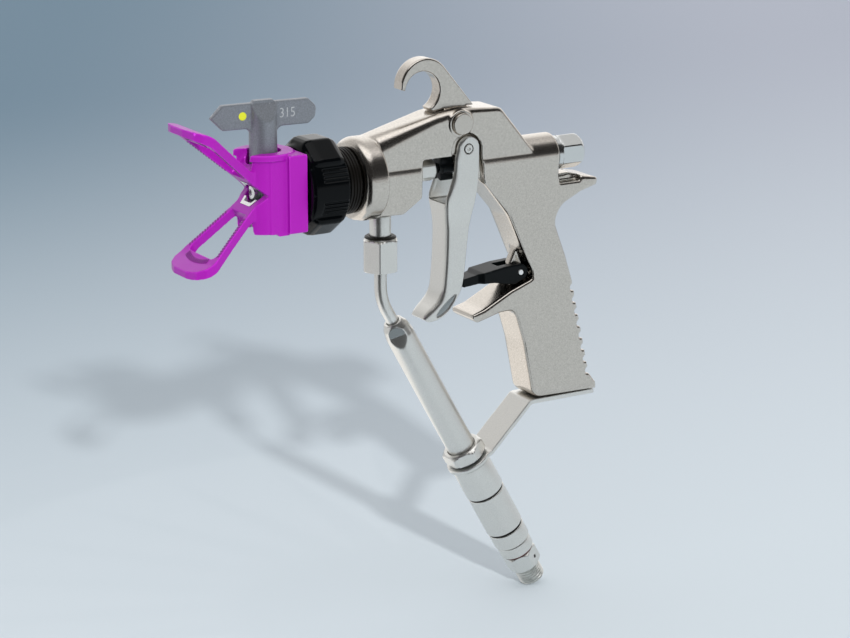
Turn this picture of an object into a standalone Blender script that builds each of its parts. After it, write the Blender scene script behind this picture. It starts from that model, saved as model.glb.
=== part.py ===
"""Airless paint spray gun with a reversible tip, tip guard and in-line hose filter. Metres, +Z up.

+X is the spray direction, +Y the gun's left side, +Z up. The origin is the crown of the hanging hook's inner
curve. Sizes are measured from the barrel datum: x = 0 on the front face of the head collar, z = 0 on the needle's
axis. The datum is an empty, and the pieces of the fluid line hang on a second empty that lies along the line.
"""

from math import atan2, cos, hypot, pi, radians, sin, tan

import bmesh
import bpy

# ---------------------------------------------------------------- clearances
GAP = 0.0003            # between pieces that touch
RUN = 0.0004            # round a piece that turns or slides

# ---------------------------------------------------------------- facets round a turned piece
SIDES_LARGE = 32
SIDES = 24
SIDES_SMALL = 18
SIDES_TINY = 12

# ---------------------------------------------------------------- gun body
BODY_HALF = 0.0100      # half the thickness of the forged slab
BARREL_R = 0.01065      # barrel that swells out of the slab
BARREL_BACK = -0.1134
COLLAR_R = 0.0202
COLLAR_LENGTH = 0.0115
COLLAR_FILLET = 0.0045
RIDGE_FRONT_Z = 0.0205  # height of the top ridge where it leaves the collar
RIDGE_KNEE = (-0.0440, 0.0280)
RIDGE_TOP = (-0.0580, 0.0297)
SLAB_TOP_REAR = (-0.0797, 0.0280)
RIDGE_ROLL_FRONT = 0.0088
RIDGE_ROLL_KNEE = 0.0046
RIM_ROLL = 0.0020       # roll on the grip's edges
RIM_SMALL = 0.0008      # roll on machined edges
GRIP_BOTTOM_Z = -0.1208
GRIP_HEEL_X = -0.1372
TEETH = 8
TOOTH_TOP = (-0.1222, -0.0640)
TOOTH_BOTTOM = (-0.1334, -0.1145)
TOOTH_DEPTH = 0.0018
WINDOW_TOP_Z = 0.0070
WINDOW_FRONT_X = -0.0362
WINDOW_BACK_X = -0.0645
HORN_NOTCH_HALF = 0.0050
HORN_NOTCH_Z = -0.0131
FLAT_Z = -0.0186        # spot face under the collar

# ---------------------------------------------------------------- head, nut and needle line
HEAD_R = 0.0086         # head insert inside the collar and barrel
HEAD_BACK = -0.0132
HEAD_FRONT = 0.0130
NECK_R = 0.0132
RING_R = 0.0159
RING_BACK = 0.0003
RING_FRONT = 0.0066
SEAT_R = 0.0050
SEAT_LENGTH = 0.0065
SEAT_BORE = 0.0014
BALL_R = 0.0028
NEEDLE_R = 0.0022
PACKING_R = 0.0049
PACKING_BACK = -0.0325
PACKING_FRONT = -0.0250
PACKING_HEX = 0.0100
PACKING_HEX_BACK = -0.0462
STAR_FRONT = -0.0495
STAR_BACK = -0.0562
STAR_R = 0.0064
STAR_LOBES = 6
PLUNGER_FRONT = -0.0624
PLUNGER_BACK = -0.0705
PLUNGER_R = 0.0060
REAR_BORE_R = 0.0064
SPRING_WIRE = 0.0007
SPRING_MEAN_R = 0.0044
SPRING_CURLS = 8
CURL_POINTS = 9
CAP_HEX = 0.0150
CAP_FRONT = BARREL_BACK - 0.0004
CAP_LENGTH = 0.0172
CAP_DOME = 0.0050
CAP_STUB = 0.0100

NUT_BACK = 0.0069
NUT_FRONT = 0.0285
NUT_R = 0.0203
NUT_LIP = 0.0180        # where the lip that holds the guard begins
NUT_THREAD_R = 0.0135
NUT_CHAMBER_R = 0.0146
LOBE_FLAT_HALF = 0.0062
LOBE_TOP = 0.0226
LOBE_SIDE = (0.0183, 0.0142)
LOBE_BACK = 0.0090
LOBE_FRONT = 0.0272
LOBE_CHAMFER = 0.0040
GROOVES = 4
GROOVE_PITCH = 0.0019
GROOVE_DEPTH = 0.0006
GROOVE_WIDTH = 0.0008
GROOVE_FIRST = radians(15)

# ---------------------------------------------------------------- guard and tip
GUARD_NECK_R = 0.0119
GUARD_COLLAR_R = 0.0142
GUARD_BACK = 0.0142
GUARD_COLLAR_FRONT = 0.0176
FLANGE_BACK = 0.0294
FLANGE_FRONT = 0.0388
FLANGE_HALF_Y = 0.0152
FLANGE_HALF_Z = 0.0183
WAIST_FRONT = 0.0404
WAIST_HALF_Y = 0.0128
TIP_X = 0.0441          # axis of the reversible tip
BLOCK_R = 0.0126
BLOCK_RIM_R = 0.0140
BLOCK_RIM_T = 0.0030
BLOCK_HALF_Z = 0.0193
TIP_R = 0.0065
ORIFICE_R = 0.0032
ORIFICE_REACH = 0.0003  # how far the orifice stands out of the shaft
TIP_BORE_R = 0.0082
TIP_LOWER_BORE_R = TIP_R + ORIFICE_REACH + RUN
TIP_BOTTOM_Z = -0.0165
TIP_PLATE_T = 0.0032
TIP_PLATE_Z = (0.0300, 0.0418)
TIP_REACH = 0.0262
TIP_TURN = radians(-5)
WING_APEX = 0.0480      # where the wings' inner faces meet
WING_ROOT_HALF = 0.0086
WING_END_HALF = 0.0164
WING_TIP_X = 0.0882
WING_BEND_X = 0.0796    # where the wings flatten towards their tips
WING_TIP_Z = 0.0312
WINDOW_ROOT_HALF = 0.0064
WINDOW_END_HALF = 0.0128
MOUTH_HALF_Y = 0.0076   # six-sided mouth in front of the tip
MOUTH_FLAT = 0.0044
MOUTH_HALF_Z = 0.0053
WING_SLOPE = radians(41)
WING_T = 0.0055         # height of a wing's section, measured straight up

# ---------------------------------------------------------------- hook
HOOK_HALF = 0.0040
HOOK_INNER = (-0.0393, 0.0387)
HOOK_INNER_R = 0.0094
HOOK_OUTER = (-0.0410, 0.0410)
HOOK_OUTER_R = 0.0134
HOOK_TONGUE_FRONT = -0.0510
HOOK_TONGUE_BACK = -0.0632
HOOK_TONGUE_Z = 0.0162
HOOK_PIN = (-0.0566, 0.0227)
HOOK_PIN_R = 0.0030
HOOK_HEAD_R = 0.0051
HOOK_HEAD_OUT = 0.0126
BOSS_R = 0.0064
BOSS_OUT = 0.0112

# ---------------------------------------------------------------- trigger and lock
PIVOT = (-0.0614, 0.0098)
PIVOT_R = 0.0021
EAR_R = 0.0060
EAR_OUT = 0.0096        # outer face of the trigger's side plates at the ears
SHEET = 0.0018
FOOT_HALF = 0.0078      # outer half width of the blade
CROSSBAR = (-0.0605, -0.0046)
CROSSBAR_R = 0.0014
WEB_TOP_Z = -0.0165
POCKET_R = 0.0083
POCKET_CENTRE = (-0.0602, 0.0092)
LOCK_PIN = (-0.0932, -0.0556)
LOCK_PIN_R = 0.0013
LOCK_HALF = 0.0075
TONGUE_HALF = 0.0049
LUG_HALF = 0.0025
LOCK_TIP_X = -0.0616

# ---------------------------------------------------------------- fluid line
NIPPLE_X = -0.0180
NIPPLE_R = 0.0052
NIPPLE_STUB_R = 0.0042
NIPPLE_TOP_Z = -0.0100
NIPPLE_BOTTOM_Z = -0.0345
NIPPLE_BORE = 0.0022
UNION_AF = 0.0160
UNION_TOP_Z = -0.0292
UNION_BOTTOM_Z = -0.0460
PIPE_R = 0.00305
PIPE_BORE = 0.0016
FERRULE_R = 0.0048
LINE_KNEE_Z = -0.0603   # where the pipe's straight and slanted axes cross
LINE_LEAN = radians(29.3)
PIPE_BEND_R = 0.0260
HOUSING_TOP = 0.0135    # stations below are measured down the slanted line from the knee
HOUSING_NECK_R = 0.0052
HOUSING_SHOULDER = 0.0245
HOUSING_R = 0.0071
HOUSING_BORE = 0.0056
HOUSING_END = 0.1120    # the stations after it follow the filter's length
WRENCH_FLAT = 0.0043    # distance of the filter head's wrench flats from the axis
SCREEN_R = 0.0050
SCREEN_TOP = 0.0290
SCREEN_END = HOUSING_END - 0.0040
FILTER_NUT_AF = 0.0190
FILTER_NUT_END = HOUSING_END - 0.0116
FILTER_NUT_TOP = FILTER_NUT_END - 0.0074
BRACKET_T = 0.0022
BRACKET_RING_R = 0.0112
CAP1_R = 0.0098
CAP1_END = HOUSING_END + 0.0095
SWIVEL_R = 0.0096
SWIVEL_TOP = CAP1_END + 0.0011
SWIVEL_LENGTH = 0.0229
SWIVEL_END = SWIVEL_TOP + SWIVEL_LENGTH
SWIVEL_FLAT = 0.0085
RING1_R = 0.0093
RING1_TOP = SWIVEL_END + 0.0013
RING1_END = RING1_TOP + 0.0084
RING2_R = 0.0088
RING2_TOP = RING1_END + 0.0005
RING2_END = RING2_TOP + 0.0060
HOSE_AF = 0.0156
HOSE_HEX_TOP = RING2_END + 0.0012
HOSE_HEX_END = HOSE_HEX_TOP + 0.0105
THREAD_R = 0.0067
THREAD_END = HOSE_HEX_END + 0.0081
HOSE_BORE = 0.0030
STEM_R = 0.0046
STEM_TOP = SWIVEL_TOP + 0.0074
SEAL_T = 0.0007
BRACKET_HALF = 0.0094
SCREW_XS = (-0.1095, -0.1265)
SCREW_R = 0.0020
SCREW_HEAD_R = 0.0036
SCREW_HEAD_T = 0.0018
SCREW_LENGTH = 0.0100

# ---------------------------------------------------------------- finishes: colour, roughness, metallic
FINISHES = {
    "forged_nickel": ((0.42, 0.41, 0.375), 0.38, 0.9),
    "blasted_steel": ((0.60, 0.64, 0.64), 0.45, 0.7),
    "polished_steel": ((0.62, 0.64, 0.65), 0.22, 1.0),
    "black_plastic": ((0.012, 0.014, 0.015), 0.25, 0.0),
    "black_rubber": ((0.020, 0.018, 0.014), 0.55, 0.0),
    "guard_plastic": ((0.48, 0.02, 0.50), 0.40, 0.0),
    "tip_steel": ((0.22, 0.24, 0.26), 0.50, 0.6),
    "carbide": ((0.60, 0.62, 0.62), 0.25, 0.8),
    "seal_plastic": ((0.55, 0.54, 0.50), 0.50, 0.0),
}


# ---------------------------------------------------------------- tools
def clear_scene():
    for thing in list(bpy.data.objects):
        bpy.data.objects.remove(thing, do_unlink=True)


def finish(name):
    """The material of that name, made on first use."""
    if name in bpy.data.materials:
        return bpy.data.materials[name]
    colour, roughness, metallic = FINISHES[name]
    material = bpy.data.materials.new(name)
    material.use_nodes = True
    shader = material.node_tree.nodes["Principled BSDF"]
    shader.inputs["Base Color"].default_value = (*colour, 1.0)
    shader.inputs["Roughness"].default_value = roughness
    shader.inputs["Metallic"].default_value = metallic
    return material


def empty(name, place, turn=(0.0, 0.0, 0.0), parent=None):
    marker = bpy.data.objects.new(name, None)
    marker.location = place
    marker.rotation_euler = turn
    marker.parent = parent
    bpy.context.scene.collection.objects.link(marker)
    return marker


def solid(name, verts, faces, material, parent):
    """A closed mesh object with its faces turned outward."""
    mesh = bpy.data.meshes.new(name)
    mesh.from_pydata(verts, [], faces)
    shape = bmesh.new()
    shape.from_mesh(mesh)
    bmesh.ops.recalc_face_normals(shape, faces=shape.faces)
    shape.to_mesh(mesh)
    shape.free()
    mesh.materials.append(finish(material))
    mesh.shade_smooth()
    mesh.set_sharp_from_angle(angle=radians(32))
    piece = bpy.data.objects.new(name, mesh)
    piece.parent = parent
    bpy.context.scene.collection.objects.link(piece)
    return piece


def skin(name, rings, material, parent, loop=False):
    """Bands of faces between successive rings; flat ends, or a loop that closes on itself."""
    count = len(rings[0])
    verts = [tuple(point) for ring in rings for point in ring]
    faces = []
    spans = len(rings) if loop else len(rings) - 1
    for k in range(spans):
        here = k * count
        there = ((k + 1) % len(rings)) * count
        for i in range(count):
            j = (i + 1) % count
            faces.append((here + i, here + j, there + j, there + i))
    if not loop:
        faces.append(tuple(range(count)))
        faces.append(tuple(range(len(verts) - count, len(verts))))
    return solid(name, verts, faces, material, parent)


def circle_angles(sides, phase=0.0):
    return [phase + 2 * pi * i / sides for i in range(sides)]


def turned(name, profile, material, parent, sides=SIDES, hollow=False, phase=0.0):
    """Revolve (along, radius) points about local X; a hollow profile is a closed loop."""
    rings = [[(s, r * cos(a), r * sin(a)) for a in circle_angles(sides, phase)] for s, r in profile]
    return skin(name, rings, material, parent, loop=hollow)


def post(name, place, radius, low, high, material, parent, axis="Y", sides=SIDES_SMALL):
    """A plain cylinder along one axis, through the point (two coordinates) in the other plane."""
    rings = []
    for level in (low, high):
        ring = []
        for a in circle_angles(sides, pi / sides):
            u = place[0] + radius * cos(a)
            v = place[1] + radius * sin(a)
            ring.append({"X": (level, u, v), "Y": (u, level, v), "Z": (u, v, level)}[axis])
        rings.append(ring)
    return skin(name, rings, material, parent)


def block(name, low, high, material, parent):
    ring = [(low[0], low[1]), (high[0], low[1]), (high[0], high[1]), (low[0], high[1])]
    rings = [[(x, y, z) for x, y in ring] for z in (low[2], high[2])]
    return skin(name, rings, material, parent)


def extruded(name, outline, low, high, material, parent, axis="Y"):
    """A flat outline carried along one axis: (x, z) outlines along Y, (y, z) outlines along X."""
    rings = []
    for level in (low, high):
        if axis == "Y":
            rings.append([(u, level, v) for u, v in outline])
        elif axis == "X":
            rings.append([(level, u, v) for u, v in outline])
        else:
            rings.append([(u, v, level) for u, v in outline])
    return skin(name, rings, material, parent)


def hexagon(across_flats, phase=0.0):
    radius = across_flats / 2 / cos(pi / 6)
    return [(radius * cos(a), radius * sin(a)) for a in circle_angles(6, phase)]


def rounded(corners, steps=3):
    """Replace each (x, z, corner radius, roll) by an arc tangent to both of its sides: (x, z, roll) points."""
    points = []
    count = len(corners)
    for i in range(count):
        x, z, radius, roll = corners[i]
        if radius <= 0:
            points.append((x, z, roll))
            continue
        ax, az = corners[i - 1][0] - x, corners[i - 1][1] - z
        bx, bz = corners[(i + 1) % count][0] - x, corners[(i + 1) % count][1] - z
        start, end = atan2(az, ax), atan2(bz, bx)
        opening = (end - start + pi) % (2 * pi) - pi
        reach = min(abs(radius / tan(opening / 2)), 0.48 * hypot(ax, az), 0.48 * hypot(bx, bz))
        radius = reach * abs(tan(opening / 2))
        middle = start + opening / 2
        centre_distance = hypot(radius, reach)
        cx, cz = x + centre_distance * cos(middle), z + centre_distance * sin(middle)
        first = atan2(z + reach * sin(start) - cz, x + reach * cos(start) - cx)
        last = atan2(z + reach * sin(end) - cz, x + reach * cos(end) - cx)
        sweep = (last - first + pi) % (2 * pi) - pi
        for k in range(steps + 1):
            a = first + sweep * k / steps
            points.append((cx + radius * cos(a), cz + radius * sin(a), roll))
    return points


def signed_area(points):
    total = 0.0
    for i in range(len(points)):
        total += points[i - 1][0] * points[i][1] - points[i][0] * points[i - 1][1]
    return total / 2


def inset(points, share):
    """Move each point of an outline inward along its mitre by share of its own roll."""
    side = 1.0 if signed_area(points) > 0 else -1.0
    moved = []
    count = len(points)
    for i in range(count):
        x, z, roll = points[i]
        px, pz = x - points[i - 1][0], z - points[i - 1][1]
        nx, nz = points[(i + 1) % count][0] - x, points[(i + 1) % count][1] - z
        p, n = hypot(px, pz), hypot(nx, nz)
        ax, az = -pz / p * side, px / p * side
        bx, bz = -nz / n * side, nx / n * side
        scale = max(1 + ax * bx + az * bz, 0.5)
        moved.append((x + share * roll * (ax + bx) / scale, z + share * roll * (az + bz) / scale))
    return moved


def rolled_slab(name, points, half, material, parent, steps=2):
    """An outline of (x, z, roll) points carried across the gun, with both rims rolled over by each point's roll."""
    near = []
    for k in range(steps + 1):
        a = pi / 2 * k / steps
        flat = inset(points, 1 - sin(a))
        near.append([(u, half - points[i][2] * (1 - cos(a)), v) for i, (u, v) in enumerate(flat)])
    far = [[(x, -y, z) for x, y, z in ring] for ring in reversed(near)]
    return skin(name, near + far, material, parent)


def combine(piece, tool, operation):
    tool.hide_render = True
    tool.display_type = "WIRE"
    step = piece.modifiers.new(tool.name, "BOOLEAN")
    step.operation = operation
    step.solver = "EXACT"
    step.object = tool


def cut(piece, *tools):
    for tool in tools:
        combine(piece, tool, "DIFFERENCE")


def add(piece, *tools):
    for tool in tools:
        combine(piece, tool, "UNION")


def turn_origin(piece, place):
    """Move a piece's origin to its joint's axis without moving the piece."""
    for vertex in piece.data.vertices:
        vertex.co.x -= place[0]
        vertex.co.y -= place[1]
        vertex.co.z -= place[2]
    piece.location = place


# ---------------------------------------------------------------- gun body
def grip_teeth():
    """Ratchet teeth down the back of the grip: a slanted lead-in, an inner wall and a ledge, then a land."""
    x0, z0 = TOOTH_TOP
    x1, z1 = TOOTH_BOTTOM
    length = hypot(x1 - x0, z1 - z0)
    ux, uz = (x1 - x0) / length, (z1 - z0) / length
    inx, inz = -uz, ux
    pitch = length / TEETH
    points = []
    for k in range(TEETH):
        for share, depth in ((0.10, 0.0), (0.26, TOOTH_DEPTH), (0.62, TOOTH_DEPTH), (0.66, 0.0)):
            s = (k + share) * pitch
            points.append((x0 + ux * s + inx * depth, z0 + uz * s + inz * depth, 0.0, RIM_SMALL * 0.6))
    return points


def body_outline():
    """Side view of the slab, from the collar over the top to the heel and back by the throat and the window."""
    top = [
        (-0.0060, RIDGE_FRONT_Z - 0.0012, 0.0, RIDGE_ROLL_FRONT),
        (*RIDGE_KNEE, 0.030, RIDGE_ROLL_KNEE),
        (*RIDGE_TOP, 0.020, 0.0026),
        (*SLAB_TOP_REAR, 0.0045, 0.0018),
        (-0.1033, -0.0010, 0.0, 0.0010),
        (BARREL_BACK, -0.0012, 0.0, 0.0010),
        (BARREL_BACK, -0.0102, 0.0, 0.0010),
        (-0.1225, -0.0097, 0.004, 0.0028),
        (-0.1366, -0.0136, 0.0, 0.0008),
    ]
    back = [
        (-0.1262, -0.0183, 0.010, 0.0016),
        (-0.1155, -0.0247, 0.010, RIM_ROLL),
        (-0.1117, -0.0320, 0.008, RIM_ROLL),
        (-0.1190, -0.0510, 0.030, RIM_ROLL),
    ]
    heel = [
        (GRIP_HEEL_X, -0.1178, 0.0020, 0.0008),
        (GRIP_HEEL_X, GRIP_BOTTOM_Z, 0.0, 0.0008),
        (-0.1000, GRIP_BOTTOM_Z, 0.0060, RIM_ROLL),
        (-0.0938, -0.0905, 0.030, RIM_ROLL),
        (-0.0884, -0.0738, 0.0045, RIM_ROLL),
    ]
    spur = [
        (-0.0800, -0.0737, 0.010, RIM_ROLL),
        (-0.0668, -0.0764, 0.0, 0.0010),
        (-0.0626, -0.0731, 0.0, 0.0010),
        (-0.0710, -0.0713, 0.010, 0.0014),
        (-0.0862, -0.0636, 0.0, 0.0010),
        (-0.0993, -0.0590, 0.0020, RIM_SMALL),
        (-0.0984, -0.0545, 0.0, RIM_SMALL),
        (-0.0952, -0.0485, 0.0, 0.0014),
        (-0.0845, -0.0255, 0.012, RIM_ROLL),
    ]
    front = [
        (-0.0660, -0.0030, 0.0015, 0.0010),
        (WINDOW_BACK_X, WINDOW_TOP_Z, 0.0012, RIM_SMALL),
        (WINDOW_FRONT_X, WINDOW_TOP_Z, 0.0010, RIM_SMALL),
        (-0.0355, -0.0112, 0.0, RIM_SMALL),
        (-0.0252, -0.0180, 0.0012, 0.0010),
        (-0.0060, -0.0174, 0.0, 0.0010),
    ]
    return rounded(top + back + grip_teeth() + heel + spur + front)


def ridge_height(x):
    """Top of the slab between the knee and its rear corner, without the rounding of the corners."""
    line = [(-0.0060, RIDGE_FRONT_Z), RIDGE_KNEE, RIDGE_TOP, SLAB_TOP_REAR]
    for (x0, z0), (x1, z1) in zip(line, line[1:]):
        if x1 <= x <= x0:
            return z0 + (z1 - z0) * (x - x0) / (x1 - x0)
    return RIDGE_TOP[1]


def collar_profile():
    back = -COLLAR_LENGTH
    arc = [(-COLLAR_FILLET * (1 - cos(a)), COLLAR_R - COLLAR_FILLET * (1 - sin(a)))
           for a in (0.0, pi / 8, pi / 4, 3 * pi / 8, pi / 2)]
    return arc + [(back + 0.0008, COLLAR_R), (back, COLLAR_R - 0.0008), (back - 0.0030, 0.0125),
                  (back - 0.0030, 0.0100)]


def make_gun_body(datum):
    body = rolled_slab("gun_body", body_outline(), BODY_HALF, "forged_nickel", datum)
    barrel = turned("body_barrel", [(-0.0050, BARREL_R), (BARREL_BACK + 0.0005, BARREL_R),
                                    (BARREL_BACK, BARREL_R - 0.0005)], "forged_nickel", datum, sides=SIDES_LARGE)
    collar = turned("body_collar", collar_profile(), "forged_nickel", datum, sides=SIDES_LARGE)
    boss = post("body_boss", HOOK_PIN, BOSS_R, -BOSS_OUT, BOSS_OUT, "forged_nickel", datum, sides=SIDES_SMALL)
    lug = extruded("body_lug", [(-0.0975, -0.0430), (-0.0930, -0.0448), (-0.0893, -0.0530), (-0.0885, -0.0585),
                                (-0.0905, -0.0640), (-0.1010, -0.0600)], -LUG_HALF, LUG_HALF, "forged_nickel", datum)
    add(body, barrel, collar, boss, lug)
    cut(barrel, barrel_window(datum))
    cut(body, *body_bores(datum))
    for side in (1, -1):
        cut(body, *side_recesses(datum, side))
    return body


def barrel_window(datum):
    """Takes the barrel out of the window; its ends stand back from the window's rolled rims."""
    back = 0.0009
    corners = [(WINDOW_BACK_X - back, WINDOW_TOP_Z + back), (WINDOW_FRONT_X + back, WINDOW_TOP_Z + back),
               (-0.0355 + back, -0.0300), (-0.0890, -0.0300), (-0.0660 - back, -0.0030)]
    return extruded("barrel_window", corners, -0.0200, 0.0200, "forged_nickel", datum)


def body_bores(datum):
    head = post("bore_head", (0, 0), HEAD_R + GAP, HEAD_BACK - 0.0080, 0.0050, "forged_nickel", datum, "X", SIDES)
    needle = post("bore_needle", (0, 0), PACKING_R + GAP, WINDOW_FRONT_X - 0.0020, HEAD_BACK - 0.0070,
                  "forged_nickel", datum, "X")
    rear = post("bore_rear", (0, 0), REAR_BORE_R, BARREL_BACK - 0.0020, WINDOW_BACK_X + 0.0020, "forged_nickel",
                datum, "X")
    inlet = post("bore_inlet", (NIPPLE_X, 0), NIPPLE_STUB_R + GAP, -0.0220, -0.0060, "forged_nickel", datum, "Z")
    spot = block("spot_face", (-0.0250, -0.0300, -0.0260), (-0.0020, 0.0300, FLAT_Z), "forged_nickel", datum)
    slot = block("hook_slot", (HOOK_TONGUE_BACK - GAP, -HOOK_HALF - GAP, HOOK_TONGUE_Z - GAP),
                 (HOOK_TONGUE_FRONT + GAP, HOOK_HALF + GAP, 0.0400), "forged_nickel", datum)
    hook_hole = post("hook_pin_hole", HOOK_PIN, HOOK_PIN_R + GAP, -0.0200, 0.0200, "forged_nickel", datum)
    pivot_hole = post("pivot_hole", PIVOT, PIVOT_R + GAP, -0.0200, 0.0200, "forged_nickel", datum)
    lock_hole = post("lock_pin_hole", LOCK_PIN, LOCK_PIN_R + GAP, -0.0060, 0.0060, "forged_nickel", datum, sides=SIDES_TINY)
    screws = [post(f"grip_screw_hole_{i}", (x, 0), SCREW_R + GAP, GRIP_BOTTOM_Z - 0.0020,
                   GRIP_BOTTOM_Z + SCREW_LENGTH + 0.0010, "forged_nickel", datum, "Z", SIDES_TINY)
              for i, x in enumerate(SCREW_XS)]
    return [head, needle, rear, inlet, spot, slot, hook_hole, pivot_hole, lock_hole, *screws]


def side_recesses(datum, side):
    """Counterbore for the hook pin's head, pocket for the trigger's ear and notch before the horn."""
    label = "left" if side > 0 else "right"
    head = post(f"head_recess_{label}", HOOK_PIN, HOOK_HEAD_R + GAP, side * (BOSS_OUT - 0.0010),
                side * (BOSS_OUT + 0.0020), "forged_nickel", datum, sides=SIDES_SMALL)
    floor = side * (EAR_OUT - SHEET - 0.0006)
    outside = side * 0.0200
    ear = post(f"ear_pocket_{label}", POCKET_CENTRE, POCKET_R, floor, outside, "forged_nickel", datum, sides=SIDES)
    x, z = POCKET_CENTRE
    swing = extruded(f"ear_swing_{label}", [(x - POCKET_R + 0.0003, z), (x - POCKET_R - 0.0006, 0.0010),
                                            (x - POCKET_R - 0.0020, -0.0088), (x + POCKET_R, -0.0088),
                                            (x + POCKET_R - 0.0010, z - 0.0010)],
                     floor, outside, "forged_nickel", datum)
    inner = side * HORN_NOTCH_HALF
    notch = block(f"horn_notch_{label}", (-0.1262, min(inner, outside), HORN_NOTCH_Z),
                  (BARREL_BACK - 0.0003, max(inner, outside), 0.0150), "forged_nickel", datum)
    return [head, ear, swing, notch]


# ---------------------------------------------------------------- hook
def make_hook(datum):
    cx, cz = HOOK_OUTER
    outer = [(cx + HOOK_OUTER_R * cos(radians(a)), cz + HOOK_OUTER_R * sin(radians(a))) for a in range(-3, 141, 11)]
    base_back, base_front = -0.0676, -0.0448
    base = [
        (base_back, ridge_height(base_back) + GAP + 0.0002),
        (HOOK_TONGUE_BACK, ridge_height(HOOK_TONGUE_BACK) + GAP + 0.0002),
        (HOOK_TONGUE_BACK, HOOK_TONGUE_Z),
        (HOOK_TONGUE_FRONT, HOOK_TONGUE_Z),
        (HOOK_TONGUE_FRONT, ridge_height(HOOK_TONGUE_FRONT) + GAP),
        (base_front, ridge_height(base_front) + GAP),
    ]
    ix, iz = HOOK_INNER
    inner = [(ix + HOOK_INNER_R * cos(radians(a)), iz + HOOK_INNER_R * sin(radians(a))) for a in range(246, -1, -12)]
    outline = [(x, z, 0.0006) for x, z in outer + base + inner]
    hook = rolled_slab("hanging_hook", outline, HOOK_HALF, "forged_nickel", datum)
    cut(hook, post("hook_eye", HOOK_PIN, HOOK_PIN_R + GAP, -0.0100, 0.0100, "forged_nickel", datum))
    return hook


def make_hook_pin(datum):
    """A shank with a flat head on each side of the body."""
    x, z = HOOK_PIN
    seat = BOSS_OUT - 0.0010 + GAP
    edge = 0.0005
    half = [(0.0, HOOK_PIN_R), (seat, HOOK_PIN_R), (seat, HOOK_HEAD_R), (HOOK_HEAD_OUT - edge, HOOK_HEAD_R),
            (HOOK_HEAD_OUT, HOOK_HEAD_R - edge)]
    profile = [(-s, r) for s, r in reversed(half)] + half[1:]
    axis = empty("hook_pin_axis", (x, 0.0, z), (0.0, 0.0, pi / 2), datum)
    return turned("hook_pin", profile, "forged_nickel", axis, sides=SIDES_SMALL)


# ---------------------------------------------------------------- head, needle and rear cap
def make_head(datum):
    """Head insert with its seat pocket, the rubber ring round its neck and the valve seat."""
    step = 0.0
    chamber = 0.0040
    pocket = HEAD_FRONT - SEAT_LENGTH - GAP
    profile = [(HEAD_BACK, HEAD_R), (step - GAP, HEAD_R), (step + GAP, HEAD_R), (step + GAP, NECK_R),
               (HEAD_FRONT, NECK_R), (HEAD_FRONT, SEAT_R + GAP), (pocket, SEAT_R + GAP), (pocket, chamber),
               (HEAD_BACK, chamber)]
    turned("fluid_head", profile, "polished_steel", datum, sides=SIDES, hollow=True)
    ring_inner = NECK_R + GAP
    roll = 0.0010
    ring = [(RING_BACK + GAP, ring_inner), (RING_BACK + GAP, RING_R - roll), (RING_BACK + GAP + roll, RING_R),
            (RING_FRONT - roll, RING_R), (RING_FRONT, RING_R - roll), (RING_FRONT, ring_inner)]
    turned("collar_ring", ring, "black_rubber", datum, sides=SIDES, hollow=True)
    seat_back = HEAD_FRONT - SEAT_LENGTH
    seat = [(seat_back, SEAT_R), (HEAD_FRONT - GAP, SEAT_R), (HEAD_FRONT - GAP, SEAT_BORE),
            (seat_back + 0.0020, SEAT_BORE), (seat_back, BALL_R)]
    turned("valve_seat", seat, "carbide", datum, sides=SIDES_SMALL, hollow=True)


def make_needle(datum):
    seat_back = HEAD_FRONT - SEAT_LENGTH
    centre = seat_back - BALL_R * 0.75
    ball = [(centre + BALL_R * cos(a), BALL_R * sin(a)) for a in (0.12, 0.5, 0.95, pi / 2, 2.1)]
    rod_back = PLUNGER_BACK + 0.0050
    profile = ball + [(centre - BALL_R * 0.62, NEEDLE_R), (rod_back, NEEDLE_R)]
    turned("needle_rod", profile, "polished_steel", datum, sides=SIDES_TINY)
    bore = NEEDLE_R + GAP
    lobes = []
    for i in range(STAR_LOBES * 4):
        a = 2 * pi * i / (STAR_LOBES * 4)
        r = STAR_R * (0.86 + 0.14 * cos(STAR_LOBES * a))
        lobes.append((r * cos(a), r * sin(a)))
    star = extruded("needle_star", lobes, STAR_BACK, STAR_FRONT, "black_plastic", datum, axis="X")
    cut(star, post("star_bore", (0, 0), bore, STAR_BACK - 0.0050, STAR_FRONT + 0.0050, "black_plastic", datum, "X", SIDES_TINY))
    plunger = [(PLUNGER_BACK, PLUNGER_R), (PLUNGER_FRONT - 0.0005, PLUNGER_R), (PLUNGER_FRONT, PLUNGER_R - 0.0005),
               (PLUNGER_FRONT, bore), (PLUNGER_BACK + 0.0045, bore), (PLUNGER_BACK + 0.0045, 0.0012),
               (PLUNGER_BACK, 0.0012)]
    turned("needle_plunger", plunger, "polished_steel", datum, sides=SIDES_SMALL, hollow=True)


def make_packing(datum):
    bore = NEEDLE_R + RUN
    seals = [(PACKING_BACK, PACKING_R), (PACKING_FRONT, PACKING_R), (PACKING_FRONT, bore), (PACKING_BACK, bore)]
    turned("packing_seals", seals, "seal_plastic", datum, sides=SIDES_SMALL, hollow=True)
    shoulder = WINDOW_FRONT_X - GAP
    nut = extruded("packing_nut", hexagon(PACKING_HEX, pi / 6), PACKING_HEX_BACK, shoulder, "blasted_steel", datum,
                   axis="X")
    stub = post("packing_stub", (0, 0), PACKING_R, shoulder - 0.0010, PACKING_BACK - GAP, "blasted_steel", datum, "X")
    add(nut, stub)
    cut(nut, post("packing_bore", (0, 0), bore, PACKING_HEX_BACK - 0.0050, PACKING_BACK + 0.0050, "blasted_steel",
                  datum, "X", SIDES_TINY))


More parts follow.
